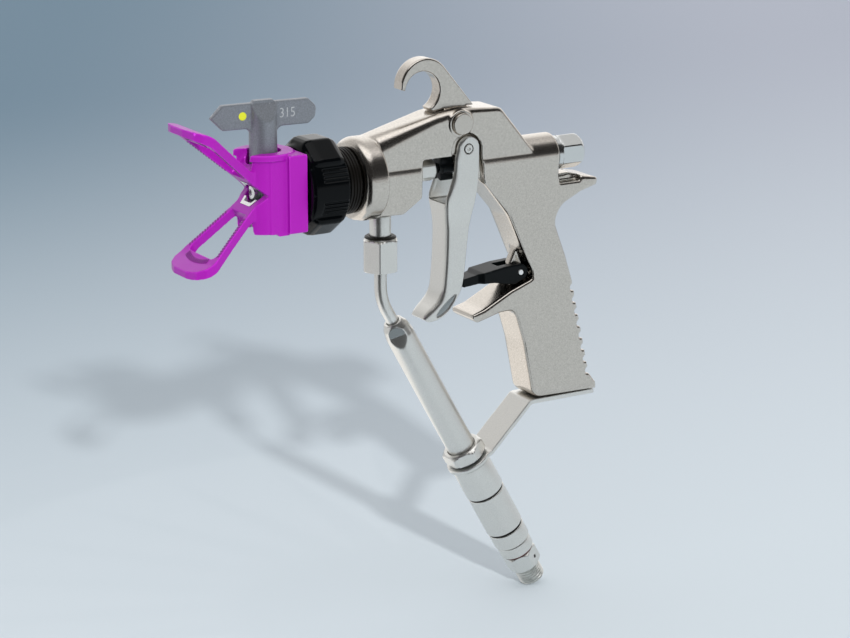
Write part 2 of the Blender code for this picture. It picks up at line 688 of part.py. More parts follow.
def make_spring(datum):
    """A wound spring between the plunger and the rear cap; the ends run square to the axis for one wire."""
    front = PLUNGER_BACK - GAP - SPRING_WIRE
    back = CAP_FRONT + CAP_STUB + GAP + SPRING_WIRE
    count = SPRING_CURLS * CURL_POINTS
    path = []
    for k in range(count + 1):
        a = 2 * pi * k / CURL_POINTS
        path.append((front + (back - front) * k / count, SPRING_MEAN_R * cos(a), SPRING_MEAN_R * sin(a)))
    least = min(hypot(path[i][0] - path[j][0], hypot(path[i][1] - path[j][1], path[i][2] - path[j][2]))
                for i in range(len(path)) for j in range(i + CURL_POINTS - 2, len(path)))
    print(f"needle_spring: least gap to itself {1000 * (least - 2 * SPRING_WIRE):.2f} mm")
    curve = bpy.data.curves.new("needle_spring", "CURVE")
    curve.dimensions = "3D"
    curve.bevel_depth = SPRING_WIRE
    curve.bevel_resolution = 1
    curve.use_fill_caps = True
    spline = curve.splines.new("POLY")
    spline.points.add(count)
    for point, place in zip(spline.points, path):
        point.co = (*place, 1.0)
    curve.materials.append(finish("polished_steel"))
    spring = bpy.data.objects.new("needle_spring", curve)
    spring.parent = datum
    bpy.context.scene.collection.objects.link(spring)


def make_rear_cap(datum):
    """Hexagon cap nut with a domed end; its stub closes the rear bore."""
    back = CAP_FRONT - CAP_LENGTH
    corner = CAP_HEX / 2 / cos(pi / 6)
    cap = extruded("rear_cap", hexagon(CAP_HEX, pi / 6), back, CAP_FRONT, "polished_steel", datum, axis="X")
    dome = [(CAP_FRONT + 0.0010, corner - 0.0009), (CAP_FRONT - 0.0010, corner + 0.0003),
            (back + CAP_DOME, corner + 0.0003)]
    for a in (pi / 8, pi / 4, 3 * pi / 8):
        dome.append((back + CAP_DOME * (1 - sin(a)), (corner + 0.0003) * (0.45 + 0.55 * cos(a))))
    dome.append((back - 0.0002, corner * 0.42))
    shell = turned("cap_dome", dome, "polished_steel", datum, sides=SIDES)
    combine(cap, shell, "INTERSECT")
    add(cap, post("cap_stub", (0, 0), REAR_BORE_R - GAP, CAP_FRONT - 0.0010, CAP_FRONT + CAP_STUB, "polished_steel",
                  datum, "X"))


# ---------------------------------------------------------------- retaining nut
def make_retaining_nut(datum):
    """Hand nut: a round body with a bevelled lobe above and below and grip grooves beside each lobe."""
    edge = 0.0014
    outer = [(NUT_BACK, NUT_R - 0.0034), (NUT_BACK + 0.0030, NUT_R), (NUT_FRONT - edge, NUT_R),
             (NUT_FRONT, NUT_R - edge)]
    nut = turned("retaining_nut", outer, "black_plastic", datum, sides=SIDES_LARGE)
    for sign, label in ((1, "top"), (-1, "bottom")):
        add(nut, nut_lobe(datum, sign, label))
    lip = GUARD_NECK_R + RUN
    bore = [(NUT_BACK - 0.0020, NUT_THREAD_R), (HEAD_FRONT + GAP, NUT_THREAD_R), (HEAD_FRONT + GAP, NUT_CHAMBER_R),
            (NUT_LIP, NUT_CHAMBER_R), (NUT_LIP, lip), (NUT_FRONT + 0.0020, lip)]
    cut(nut, turned("nut_bore", bore, "black_plastic", datum, sides=SIDES_LARGE))
    for side in (1, -1):
        for sign in (1, -1):
            for k in range(GROOVES):
                angle = GROOVE_FIRST + k * GROOVE_PITCH / NUT_R
                y, z = side * NUT_R * cos(angle), sign * NUT_R * sin(angle)
                tool = post(f"groove_{side}_{sign}_{k}", (y, z), GROOVE_WIDTH / 2 + 0.0001, NUT_BACK + 0.0012,
                            NUT_FRONT - 0.0055, "black_plastic", datum, "X", 6)
                cut(nut, tool)
    return nut


def nut_lobe(datum, sign, label):
    """Bevelled lobe: a flat top between two slanted flats, drawn in at the front and back."""
    sx, sz = LOBE_SIDE
    full = [(-sx, sz), (-LOBE_FLAT_HALF, LOBE_TOP), (LOBE_FLAT_HALF, LOBE_TOP), (sx, sz), (sx - 0.0030, 0.0100),
            (-sx + 0.0030, 0.0100)]
    rings = []
    stations = ((LOBE_BACK, 0.0028), (LOBE_BACK + LOBE_CHAMFER, 0.0), (LOBE_FRONT - LOBE_CHAMFER, 0.0),
                (LOBE_FRONT - 0.0012, 0.0012), (LOBE_FRONT, 0.0026))
    for x, drop in stations:
        ring = []
        for y, z in full:
            length = hypot(y, z)
            pull = drop if z > 0.0110 else 0.0
            ring.append((x, y * (length - pull) / length, sign * z * (length - pull) / length))
        rings.append(ring)
    return skin(f"nut_lobe_{label}", rings, "black_plastic", datum)


# ---------------------------------------------------------------- guard and tip
def wing_height(x):
    """Height of the upper wing's inner face."""
    return (x - WING_APEX) * tan(WING_SLOPE)


def wing_profile(sign):
    """Side view of one wing: the inner face runs at the wing slope, the outer face flattens at the tip."""
    bend = (WING_BEND_X, wing_height(WING_BEND_X))
    points = [(0.0430, 0.0), (WING_APEX, 0.0), bend, (WING_TIP_X, WING_TIP_Z),
              (WING_TIP_X + 0.0002, WING_TIP_Z + 0.0036), (bend[0] - 0.0012, bend[1] + WING_T - 0.0008),
              (0.0560, wing_height(0.0560) + WING_T), (0.0430, 0.0080)]
    return [(x, sign * z) for x, z in points]


def wing_plan():
    """Top view of both wings: they widen to their rounded end."""
    half = [(0.0400, WING_ROOT_HALF), (0.0500, WING_ROOT_HALF), (0.0550, 0.0091), (0.0610, 0.0108),
            (0.0670, 0.0126), (0.0760, 0.0156), (0.0800, WING_END_HALF), (0.0830, 0.0156), (0.0856, 0.0132),
            (0.0874, 0.0098), (0.0882, 0.0058)]
    return half + [(x, -y) for x, y in reversed(half)]


def wing_window(datum, sign, label):
    """Tapered window with round corners, cut square to the wing's inner face."""
    x0, x1 = 0.0573, 0.0770
    corners = [(x0, -WINDOW_ROOT_HALF, 0.0012, 0), (x1, -WINDOW_END_HALF, 0.0026, 0),
               (x1, WINDOW_END_HALF, 0.0026, 0), (x0, WINDOW_ROOT_HALF, 0.0012, 0)]
    outline = rounded(corners)
    nx, nz = -sin(WING_SLOPE), cos(WING_SLOPE)
    rings = []
    for reach in (-0.0080, 0.0160):
        rings.append([(x + nx * reach, y, sign * (wing_height(x) + nz * reach)) for x, y, _ in outline])
    return skin(f"wing_window_{label}", rings, "guard_plastic", datum)


def make_tip_guard(datum):
    guard = extruded("tip_guard", wing_profile(1), -0.0200, 0.0200, "guard_plastic", datum)
    lower = extruded("guard_lower_wing", wing_profile(-1), -0.0200, 0.0200, "guard_plastic", datum)
    add(guard, lower)
    combine(guard, extruded("wing_plan", wing_plan(), -0.0500, 0.0500, "guard_plastic", datum, axis="Z"), "INTERSECT")
    place = (TIP_X, 0)
    column = post("guard_column", place, BLOCK_R, -BLOCK_HALF_Z + 0.0012, BLOCK_HALF_Z - 0.0010, "guard_plastic",
                  datum, "Z", SIDES_LARGE)
    rims = [post("guard_rim", place, BLOCK_RIM_R, BLOCK_HALF_Z - BLOCK_RIM_T, BLOCK_HALF_Z, "guard_plastic", datum,
                 "Z", SIDES_LARGE)]
    rims.append(block("guard_cheeks", (WAIST_FRONT - 0.0010, -BLOCK_R - 0.0001, -BLOCK_HALF_Z + 0.0011),
                      (TIP_X + 0.0030, BLOCK_R + 0.0001, BLOCK_HALF_Z - 0.0014), "guard_plastic", datum))
    reach = 0.0200
    notch = [(WING_APEX - 0.0002, 0.0), (WING_APEX + reach, wing_height(WING_APEX + reach)),
             (WING_APEX + reach, -wing_height(WING_APEX + reach))]
    cut(column, extruded("column_notch", notch, -0.0200, 0.0200, "guard_plastic", datum))
    waist = block("guard_waist", (FLANGE_FRONT - 0.0010, -WAIST_HALF_Y, -BLOCK_HALF_Z + 0.0002),
                  (WAIST_FRONT + 0.0030, WAIST_HALF_Y, BLOCK_HALF_Z - 0.0002), "guard_plastic", datum)
    flange = extruded("guard_flange", [(p[0], p[1]) for p in rounded(
        [(-FLANGE_HALF_Y, -FLANGE_HALF_Z, 0.0008, 0), (FLANGE_HALF_Y, -FLANGE_HALF_Z, 0.0008, 0),
         (FLANGE_HALF_Y, FLANGE_HALF_Z, 0.0008, 0), (-FLANGE_HALF_Y, FLANGE_HALF_Z, 0.0008, 0)], steps=2)],
        FLANGE_BACK, FLANGE_FRONT, "guard_plastic", datum, axis="X")
    neck = turned("guard_neck", [(GUARD_BACK, GUARD_COLLAR_R), (GUARD_COLLAR_FRONT, GUARD_COLLAR_R),
                                 (GUARD_COLLAR_FRONT, GUARD_NECK_R), (FLANGE_BACK + 0.0010, GUARD_NECK_R)],
                  "guard_plastic", datum, sides=SIDES)
    add(guard, column, *rims, waist, flange, neck)
    cut(guard, *guard_openings(datum))
    return guard


def guard_openings(datum):
    place = (TIP_X, 0)
    upper = post("tip_bore", place, TIP_BORE_R, 0.0120, 0.0300, "guard_plastic", datum, "Z", SIDES)
    lower = post("tip_bore_low", place, TIP_LOWER_BORE_R, -0.0300, 0.0140, "guard_plastic", datum, "Z", SIDES)
    gasket = post("gasket_bore", (0, 0), 0.0083, GUARD_BACK - 0.0050, 0.0220, "guard_plastic", datum, "X")
    seat = post("seat_bore", (0, 0), 0.0060, 0.0200, TIP_X, "guard_plastic", datum, "X")
    mouth = [(-MOUTH_HALF_Y, 0), (-MOUTH_FLAT, -MOUTH_HALF_Z), (MOUTH_FLAT, -MOUTH_HALF_Z), (MOUTH_HALF_Y, 0),
             (MOUTH_FLAT, MOUTH_HALF_Z), (-MOUTH_FLAT, MOUTH_HALF_Z)]
    spray = extruded("spray_mouth", mouth, TIP_X, 0.0700, "guard_plastic", datum, axis="X")
    return [upper, lower, gasket, seat, spray, wing_window(datum, 1, "top"), wing_window(datum, -1, "bottom")]


def make_tip(datum):
    """Reversible tip: a round shaft with an arrow-ended cross handle, and the orifice set across the shaft."""
    axis = empty("tip_axis", (TIP_X, 0.0, 0.0), (0.0, 0.0, TIP_TURN), datum)
    low, high = TIP_PLATE_Z
    edge = 0.0006
    shaft = skin("reversible_tip", [[(r * cos(a), r * sin(a), z) for a in circle_angles(SIDES)]
                                    for z, r in ((TIP_BOTTOM_Z, TIP_R - edge), (TIP_BOTTOM_Z + edge, TIP_R),
                                                 (high - 0.0008, TIP_R), (high + 0.0010, TIP_R - 0.0018))],
                 "tip_steel", axis)
    middle = (low + high) / 2
    fillet = 0.0035
    outline = [(TIP_REACH, middle, 0.0004, 0), (TIP_REACH - 0.0058, high, 0.0006, 0),
               (-TIP_REACH + 0.0040, high, 0.0015, 0), (-TIP_REACH, middle + 0.0020, 0.0030, 0),
               (-TIP_REACH + 0.0005, middle - 0.0030, 0.0030, 0), (-TIP_REACH + 0.0040, low, 0.0010, 0),
               (-TIP_R + 0.0002, low, fillet, 0), (-TIP_R + 0.0002, low - 0.0070, 0, 0),
               (TIP_R - 0.0002, low - 0.0070, 0, 0), (TIP_R - 0.0002, low, fillet, 0),
               (TIP_REACH - 0.0060, low, 0.0006, 0)]
    plate = extruded("tip_plate", [(x, z) for x, z, _ in rounded(outline, steps=3)], -TIP_PLATE_T / 2,
                     TIP_PLATE_T / 2, "tip_steel", axis)
    add(shaft, plate)
    for side, label in ((1, "near"), (-1, "far")):
        slope = [(side * (TIP_R + 0.0030), low - 0.0010), (side * (TIP_R + 0.0030), high + 0.0060),
                 (side * (TIP_PLATE_T / 2 - 0.0001), high + 0.0060), (side * (TIP_PLATE_T / 2 + 0.0002), high - 0.0005),
                 (side * (TIP_R + 0.0002), low + 0.0030)]
        cut(shaft, extruded(f"tip_slope_{label}", slope, -0.0120, 0.0120, "tip_steel", axis, axis="X"))
    cut(shaft, post("orifice_bore", (0, 0), ORIFICE_R + GAP, -0.0100, 0.0100, "tip_steel", axis, "X", SIDES_SMALL))
    face = TIP_R + ORIFICE_REACH
    cone = [(-TIP_R + 0.0004, ORIFICE_R), (face - 0.0004, ORIFICE_R), (face, ORIFICE_R - 0.0005), (face, 0.0016),
            (face - 0.0026, 0.0006), (0.0, 0.0006), (-TIP_R + 0.0004, 0.0014)]
    orifice = turned("spray_orifice", cone, "carbide", axis, sides=SIDES_SMALL, hollow=True)
    envelope = post("orifice_envelope", (0, 0), TIP_R + ORIFICE_REACH, -0.0100, 0.0100, "carbide", axis, "Z", SIDES)
    combine(orifice, envelope, "INTERSECT")


def make_tip_seals(datum):
    """Metal seat against the tip's shaft and the gasket behind it, both in the guard's neck."""
    seat_back, seat_front = 0.0222, TIP_X - TIP_R - 0.0004
    seat = [(seat_back, 0.0057), (seat_front, 0.0057), (seat_front, 0.0022), (seat_back, 0.0022)]
    turned("tip_seat", seat, "polished_steel", datum, sides=SIDES_SMALL, hollow=True)
    gasket = [(HEAD_FRONT + GAP, 0.0080), (seat_back - GAP - 0.0002, 0.0080), (seat_back - GAP - 0.0002, 0.0024),
              (HEAD_FRONT + GAP, 0.0024)]
    turned("tip_gasket", gasket, "seal_plastic", datum, sides=SIDES_SMALL, hollow=True)


# ---------------------------------------------------------------- trigger
def trigger_stations():
    """Front and rear edge of the blade in side view, and its half width, from the ears to the toe."""
    px, pz = PIVOT
    ears = []
    for degrees_up in (72, 48, 24, 0):
        a = radians(degrees_up)
        z = pz + EAR_R * sin(a)
        ears.append(((px + EAR_R * cos(a), z), (px - EAR_R * cos(a), z), EAR_OUT))
    blade = [
        ((-0.0543, 0.0050), (-0.0673, 0.0045), EAR_OUT),
        ((-0.0537, -0.0020), (-0.0671, -0.0033), EAR_OUT),
        ((-0.0512, -0.0095), (-0.0662, -0.0113), EAR_OUT),
        ((-0.0493, -0.0152), (-0.0651, -0.0175), 0.0092),
        ((-0.0500, -0.0230), (-0.0640, -0.0240), 0.0080),
        ((-0.0506, -0.0304), (-0.0627, -0.0310), FOOT_HALF),
        ((-0.0502, -0.0440), (-0.0612, -0.0442), FOOT_HALF),
        ((-0.0492, -0.0560), (-0.0600, -0.0540), FOOT_HALF),
        ((-0.0484, -0.0600), (-0.0586, -0.0595), FOOT_HALF),
        ((-0.0465, -0.0632), (-0.0566, -0.0644), FOOT_HALF),
        ((-0.0435, -0.0660), (-0.0530, -0.0700), FOOT_HALF),
        ((-0.0405, -0.0683), (-0.0478, -0.0731), 0.0076),
        ((-0.0380, -0.0705), (-0.0426, -0.0742), 0.0072),
        ((-0.0362, -0.0730), (-0.0392, -0.0745), 0.0062),
    ]
    return ears + blade


def channel_ring(front, rear, half):
    """U section between a front and a rear edge: a web in front, a plate each side, rounded where they meet."""
    length = hypot(rear[0] - front[0], rear[1] - front[1])
    ux, uz = (rear[0] - front[0]) / length, (rear[1] - front[1]) / length
    bend = min(0.0026, 0.45 * length)
    web = min(SHEET, 0.5 * length)
    hollow = max(bend - web, 0.0004)
    section = [(length, half)]
    for k in range(4):
        a = pi / 2 * k / 3
        section.append((bend * (1 - sin(a)), half - bend * (1 - cos(a))))
    mirrored = [(u, -y) for u, y in reversed(section)]
    inner_half = half - SHEET
    inner = [(length, -inner_half)]
    for k in range(3):
        a = pi / 2 * k / 2
        inner.append((web + hollow * (1 - sin(a)), -(inner_half - hollow * (1 - cos(a)))))
    inner += [(u, -y) for u, y in reversed(inner)]
    return [(front[0] + ux * u, y, front[1] + uz * u) for u, y in section + mirrored + inner]


def make_trigger(datum):
    px, pz = PIVOT
    rings = [channel_ring(front, rear, half) for front, rear, half in trigger_stations()]
    trigger = skin("trigger", rings, "blasted_steel", datum)
    clear = EAR_OUT - SHEET - 0.0002
    opening = block("trigger_window", (-0.0800, -clear, WEB_TOP_Z), (-0.0400, clear, 0.0300), "blasted_steel", datum)
    cut(trigger, opening)
    cut(trigger, post("trigger_eye", PIVOT, PIVOT_R + RUN, -0.0200, 0.0200, "blasted_steel", datum))
    inside = EAR_OUT - SHEET + 0.0004
    add(trigger, post("trigger_crossbar", CROSSBAR, CROSSBAR_R, -inside, inside, "blasted_steel", datum, sides=SIDES_TINY))
    for side, label in ((1, "left"), (-1, "right")):
        cut(trigger, foot_recess(datum, side, label))
    turn_origin(trigger, (px, 0.0, pz))
    pin = post("trigger_pin", PIVOT, PIVOT_R, -EAR_OUT - 0.0002, EAR_OUT + 0.0002, "blasted_steel", datum)
    return trigger, pin


def foot_recess(datum, side, label):
    """Shallow crescent pressed into each side plate above the toe."""
    outline = [(-0.0552, -0.0612, 0.0004, 0), (-0.0535, -0.0662, 0.0040, 0), (-0.0490, -0.0708, 0.0040, 0),
               (-0.0432, -0.0712, 0.0008, 0), (-0.0455, -0.0678, 0.0040, 0), (-0.0510, -0.0635, 0.0040, 0)]
    low = side * (FOOT_HALF - 0.0007)
    return extruded(f"foot_recess_{label}", [(x, z) for x, z, _ in rounded(outline, steps=2)], low, side * 0.0120,
                    "blasted_steel", datum)


def make_lock(datum):
    """Fork lever: two cheeks astride the body's lug and a narrower tongue that stands behind the trigger's web."""
    px, pz = LOCK_PIN
    hub = [(px + 0.0042 * cos(radians(a)), pz + 0.0042 * sin(radians(a))) for a in range(85, 266, 20)]
    outline = hub + [(-0.0905, -0.0612), (-0.0888, -0.0613), (-0.0840, -0.0603), (-0.0782, -0.0591),
                     (-0.0715, -0.0588), (-0.0690, -0.0591), (LOCK_TIP_X, -0.0597), (LOCK_TIP_X, -0.0556),
                     (-0.0690, -0.0541), (-0.0722, -0.0524), (-0.0840, -0.0516)]
    lever = rolled_slab("trigger_lock", [(x, z, 0.0005) for x, z in outline], LOCK_HALF, "black_plastic", datum)
    for side, label in ((1, "left"), (-1, "right")):
        plan = [(-0.0724, side * (LOCK_HALF + 0.0010)), (-0.0724, side * LOCK_HALF),
                (-0.0700, side * TONGUE_HALF), (-0.0500, side * TONGUE_HALF),
                (-0.0500, side * (LOCK_HALF + 0.0010))]
        cut(lever, extruded(f"lock_side_{label}", plan, -0.0700, -0.0450, "black_plastic", datum, axis="Z"))
    slot = LUG_HALF + RUN
    cut(lever, block("lock_slot", (-0.1050, -slot, -0.0720), (-0.0826, slot, -0.0400), "black_plastic", datum))
    cut(lever, post("lock_eye", LOCK_PIN, LOCK_PIN_R + RUN, -0.0120, 0.0120, "black_plastic", datum, sides=SIDES_TINY))
    turn_origin(lever, (px, 0.0, pz))
    post("lock_pin", LOCK_PIN, LOCK_PIN_R, -LOCK_HALF - 0.0002, LOCK_HALF + 0.0002, "polished_steel", datum, sides=SIDES_TINY)


# ---------------------------------------------------------------- fluid line
def make_nipple(datum):
    """Nipple screwed into the body and the union nut that draws the pipe up to it."""
    foot = GAP - FLAT_Z
    profile = [(-NIPPLE_TOP_Z, NIPPLE_STUB_R), (foot, NIPPLE_STUB_R), (foot, NIPPLE_R),
               (-NIPPLE_BOTTOM_Z, NIPPLE_R), (-NIPPLE_BOTTOM_Z, NIPPLE_BORE), (-NIPPLE_TOP_Z, NIPPLE_BORE)]
    down = empty("nipple_axis", (NIPPLE_X, 0.0, 0.0), (0.0, pi / 2, 0.0), datum)
    turned("fluid_nipple", profile, "blasted_steel", down, sides=SIDES_SMALL, hollow=True)
    top, bottom = -UNION_TOP_Z, -UNION_BOTTOM_Z
    corner = UNION_AF / 2 / cos(pi / 6)
    nut = extruded("union_nut", hexagon(UNION_AF, pi / 6 + pi / 3), top, bottom, "blasted_steel", down, axis="X")
    trim = turned("union_trim", [(top - 0.0001, UNION_AF / 2), (top + 0.0012, corner + 0.0002),
                                 (bottom - 0.0010, corner + 0.0002), (bottom + 0.0001, UNION_AF / 2)],
                  "blasted_steel", down, sides=SIDES)
    combine(nut, trim, "INTERSECT")
    shoulder = bottom - 0.0050
    bore = turned("union_bore", [(top - 0.0020, NIPPLE_R + GAP), (shoulder, NIPPLE_R + GAP),
                                 (shoulder, PIPE_R + GAP), (bottom + 0.0020, PIPE_R + GAP)], "blasted_steel", down,
                  sides=SIDES_SMALL)
    cut(nut, bore)
    return shoulder


def make_pipe(datum, shoulder):
    """Feed pipe: a ferrule inside the union nut, a straight run, one bend and the slanted run into the filter."""
    ferrule_top = -NIPPLE_BOTTOM_Z + GAP
    ferrule_end = shoulder - GAP
    reach = PIPE_BEND_R * tan(LINE_LEAN / 2)
    stations = [(ferrule_top, FERRULE_R, 0.0), (ferrule_end, FERRULE_R, 0.0), (ferrule_end, PIPE_R, 0.0)]
    rings = []
    for depth, radius, _ in stations:
        rings.append(pipe_ring(NIPPLE_X, -depth, 0.0, radius))
    knee_top = LINE_KNEE_Z + reach
    steps = 6
    path = []
    for k in range(steps + 1):
        a = LINE_LEAN * k / steps
        path.append((NIPPLE_X - PIPE_BEND_R * (1 - cos(a)), knee_top - PIPE_BEND_R * sin(a), a))
    end = HOUSING_TOP + 0.0080
    path.append((NIPPLE_X - end * sin(LINE_LEAN), LINE_KNEE_Z - end * cos(LINE_LEAN), LINE_LEAN))
    rings += [pipe_ring(x, z, a, PIPE_R) for x, z, a in path]
    rings += [pipe_ring(x, z, a, PIPE_BORE) for x, z, a in reversed(path)]
    rings.append(pipe_ring(NIPPLE_X, -ferrule_top, 0.0, PIPE_BORE))
    return skin("feed_pipe", rings, "blasted_steel", datum, loop=True)


def pipe_ring(x, z, lean, radius, sides=SIDES_TINY):
    """Circle square to a pipe that leans back by the given angle from straight down."""
    ring = []
    for a in circle_angles(sides):
        across, along_y = radius * cos(a), radius * sin(a)
        ring.append((x + across * cos(lean), along_y, z - across * sin(lean)))
    return ring


def hex_on_line(name, across_flats, start, end, bore, line, chamfer=0.0012, phase=0.0):
    """Hexagon nut along the fluid line with turned-down corners and a through bore."""
    corner = across_flats / 2 / cos(pi / 6)
    nut = extruded(name, hexagon(across_flats, phase), start, end, "blasted_steel", line, axis="X")
    trim = turned(f"{name}_trim", [(start - 0.0001, across_flats / 2), (start + chamfer, corner + 0.0002),
                                   (end - chamfer, corner + 0.0002), (end + 0.0001, across_flats / 2)],
                  "blasted_steel", line, sides=SIDES)
    combine(nut, trim, "INTERSECT")
    if bore:
        cut(nut, post(f"{name}_bore", (0, 0), bore, start - 0.0100, end + 0.0100, "blasted_steel", line, "X", SIDES))
    return nut


def make_filter(line):
    """Filter housing with its flatted head, the screen inside and the nut that clamps the bracket."""
    profile = [(HOUSING_TOP, HOUSING_NECK_R - 0.0008), (HOUSING_TOP + 0.0008, HOUSING_NECK_R),
               (HOUSING_SHOULDER - 0.0030, HOUSING_R - 0.0004), (HOUSING_SHOULDER, HOUSING_R),
               (HOUSING_END, HOUSING_R), (HOUSING_END, HOUSING_BORE), (HOUSING_SHOULDER + 0.0010, HOUSING_BORE),
               (HOUSING_SHOULDER + 0.0010, PIPE_R + GAP), (HOUSING_TOP, PIPE_R + GAP)]
    housing = turned("filter_housing", profile, "blasted_steel", line, sides=SIDES, hollow=True)
    for i in range(4):
        side = empty(f"flat_turn_{i}", (0, 0, 0), (pi / 4 + i * pi / 2, 0, 0), line)
        cut(housing, block(f"head_flat_{i}", (HOUSING_TOP - 0.0010, -0.0100, WRENCH_FLAT + 0.0009),
                           (HOUSING_SHOULDER - 0.0012, 0.0100, 0.0120), "blasted_steel", side))
    wall = 0.0006
    screen = [(SCREEN_TOP, SCREEN_R), (SCREEN_END, SCREEN_R), (SCREEN_END, SCREEN_R - wall),
              (SCREEN_TOP, SCREEN_R - wall)]
    turned("filter_screen", screen, "polished_steel", line, sides=SIDES_SMALL, hollow=True)
    hex_on_line("filter_nut", FILTER_NUT_AF, FILTER_NUT_TOP, FILTER_NUT_END, HOUSING_R + GAP, line, 0.0022)


def make_inlet(line):
    """Filter cap, swivel body, rings, seals and the threaded hose connector."""
    ring_end = FILTER_NUT_END + 2 * GAP + BRACKET_T
    cap_top = ring_end + GAP
    socket = SWIVEL_TOP - 0.0090
    edge = 0.0004
    cap = [(cap_top, CAP1_R - edge), (cap_top + edge, CAP1_R), (CAP1_END - edge, CAP1_R), (CAP1_END, CAP1_R - edge),
           (CAP1_END, 0.0058), (HOUSING_END + GAP + 0.0005, 0.0058), (HOUSING_END + GAP + 0.0005, HOUSING_R + GAP),
           (cap_top, HOUSING_R + GAP)]
    turned("filter_cap", cap, "blasted_steel", line, sides=SIDES, hollow=True)
    turned("cap_seal", [(CAP1_END + 0.0002, CAP1_R - 0.0005), (CAP1_END + 0.0009, CAP1_R - 0.0005),
                        (CAP1_END + 0.0009, 0.0060), (CAP1_END + 0.0002, 0.0060)], "black_rubber", line, SIDES_SMALL, True)
    stem_bore = STEM_R + RUN
    body = [(socket, 0.0054), (SWIVEL_TOP, 0.0054), (SWIVEL_TOP, SWIVEL_R - edge), (SWIVEL_TOP + edge, SWIVEL_R),
            (SWIVEL_END - edge, SWIVEL_R), (SWIVEL_END, SWIVEL_R - edge), (SWIVEL_END, stem_bore),
            (STEM_TOP - GAP, stem_bore), (STEM_TOP - GAP, HOSE_BORE), (socket, HOSE_BORE)]
    swivel = turned("swivel_body", body, "blasted_steel", line, sides=SIDES, hollow=True)
    for side, label in ((1, "left"), (-1, "right")):
        inner, outer = side * SWIVEL_FLAT, side * 0.0150
        cut(swivel, block(f"swivel_flat_{label}", (SWIVEL_TOP + 0.0035, min(inner, outer), -0.0150),
                          (SWIVEL_TOP + 0.0135, max(inner, outer), 0.0150), "blasted_steel", line))
    rings = (("swivel_seal", SWIVEL_END + 0.0003, SWIVEL_END + 0.0010, RING1_R - 0.0002, "black_rubber"),
             ("swivel_ring", RING1_TOP, RING1_END, RING1_R, "blasted_steel"),
             ("thrust_ring", RING2_TOP, RING2_END, RING2_R, "blasted_steel"),
             ("dust_seal", RING2_END + 0.0003, RING2_END + 0.0009, RING2_R - 0.0006, "black_rubber"))
    for name, start, end, radius, material in rings:
        trim = min(edge, (end - start) / 3)
        turned(name, [(start, radius - trim), (start + trim, radius), (end - trim, radius), (end, radius - trim),
                      (end, stem_bore), (start, stem_bore)], material, line, SIDES, True)
    connector = hex_on_line("hose_connector", HOSE_AF, HOSE_HEX_TOP, HOSE_HEX_END, 0, line, 0.0010)
    thread = turned("connector_thread", [(HOSE_HEX_END - 0.0010, THREAD_R), (THREAD_END - 0.0009, THREAD_R),
                                         (THREAD_END, THREAD_R - 0.0009)], "blasted_steel", line, sides=SIDES_SMALL)
    stem = post("connector_stem", (0, 0), STEM_R, STEM_TOP, HOSE_HEX_TOP + 0.0010, "blasted_steel", line, "X")
    add(connector, thread, stem)
    cut(connector, post("connector_bore", (0, 0), HOSE_BORE, STEM_TOP - 0.0100, THREAD_END + 0.0100, "blasted_steel",
                        line, "X"))


def make_bracket(datum, line):
    """Flat plate under the grip, bent down to a ring that the filter nut clamps."""
    top = GRIP_BOTTOM_Z - GAP
    ring_middle = FILTER_NUT_END + GAP + BRACKET_T / 2
    cx = NIPPLE_X - ring_middle * sin(LINE_LEAN)
    cz = LINE_KNEE_Z - ring_middle * cos(LINE_LEAN)
    across = (-cos(LINE_LEAN), sin(LINE_LEAN))
    down = (-sin(LINE_LEAN), -cos(LINE_LEAN))
    half = BRACKET_T / 2
    join = BRACKET_RING_R - 0.0015
    jx, jz = cx + across[0] * join, cz + across[1] * join
    upper = [(GRIP_HEEL_X + 0.0010, top), (-0.0985, top)]
    lower = [(-0.0990 - 0.0004, top - BRACKET_T), (GRIP_HEEL_X + 0.0010, top - BRACKET_T)]
    sunk = half - 0.0001
    inner = [(jx - down[0] * sunk, jz - down[1] * sunk)]
    outer = [(jx + down[0] * sunk, jz + down[1] * sunk)]
    reach = 0.0030
    inner.append((inner[0][0] - across[0] * reach, inner[0][1] - across[1] * reach))
    outer.append((outer[0][0] - across[0] * reach, outer[0][1] - across[1] * reach))
    outline = upper + inner + outer[::-1] + lower
    strip = extruded("tube_bracket", outline, -BRACKET_HALF, BRACKET_HALF, "blasted_steel", datum)
    ring = post("bracket_ring", (0, 0), BRACKET_RING_R, ring_middle - half, ring_middle + half, "blasted_steel", line,
                "X", SIDES_LARGE)
    add(strip, ring)
    cut(strip, post("bracket_eye", (0, 0), HOUSING_R + GAP, ring_middle - 0.0060, ring_middle + 0.0060,
                    "blasted_steel", line, "X", SIDES))
    for i, x in enumerate(SCREW_XS):
        cut(strip, post(f"bracket_hole_{i}", (x, 0), SCREW_R + GAP, top - 0.0080, top + 0.0050, "blasted_steel", datum,
                        "Z", SIDES_TINY))
        head = top - BRACKET_T - GAP
        screw = [(head - SCREW_HEAD_T, SCREW_HEAD_R - 0.0005), (head - SCREW_HEAD_T + 0.0005, SCREW_HEAD_R),
                 (head, SCREW_HEAD_R), (head, SCREW_R), (GRIP_BOTTOM_Z + SCREW_LENGTH, SCREW_R)]
        rings = [[(x + r * cos(a), r * sin(a), z) for a in circle_angles(SIDES_TINY)] for z, r in screw]
        name = ("bracket_screw_front", "bracket_screw_rear")[i]
        skin(name, rings, "polished_steel", datum)


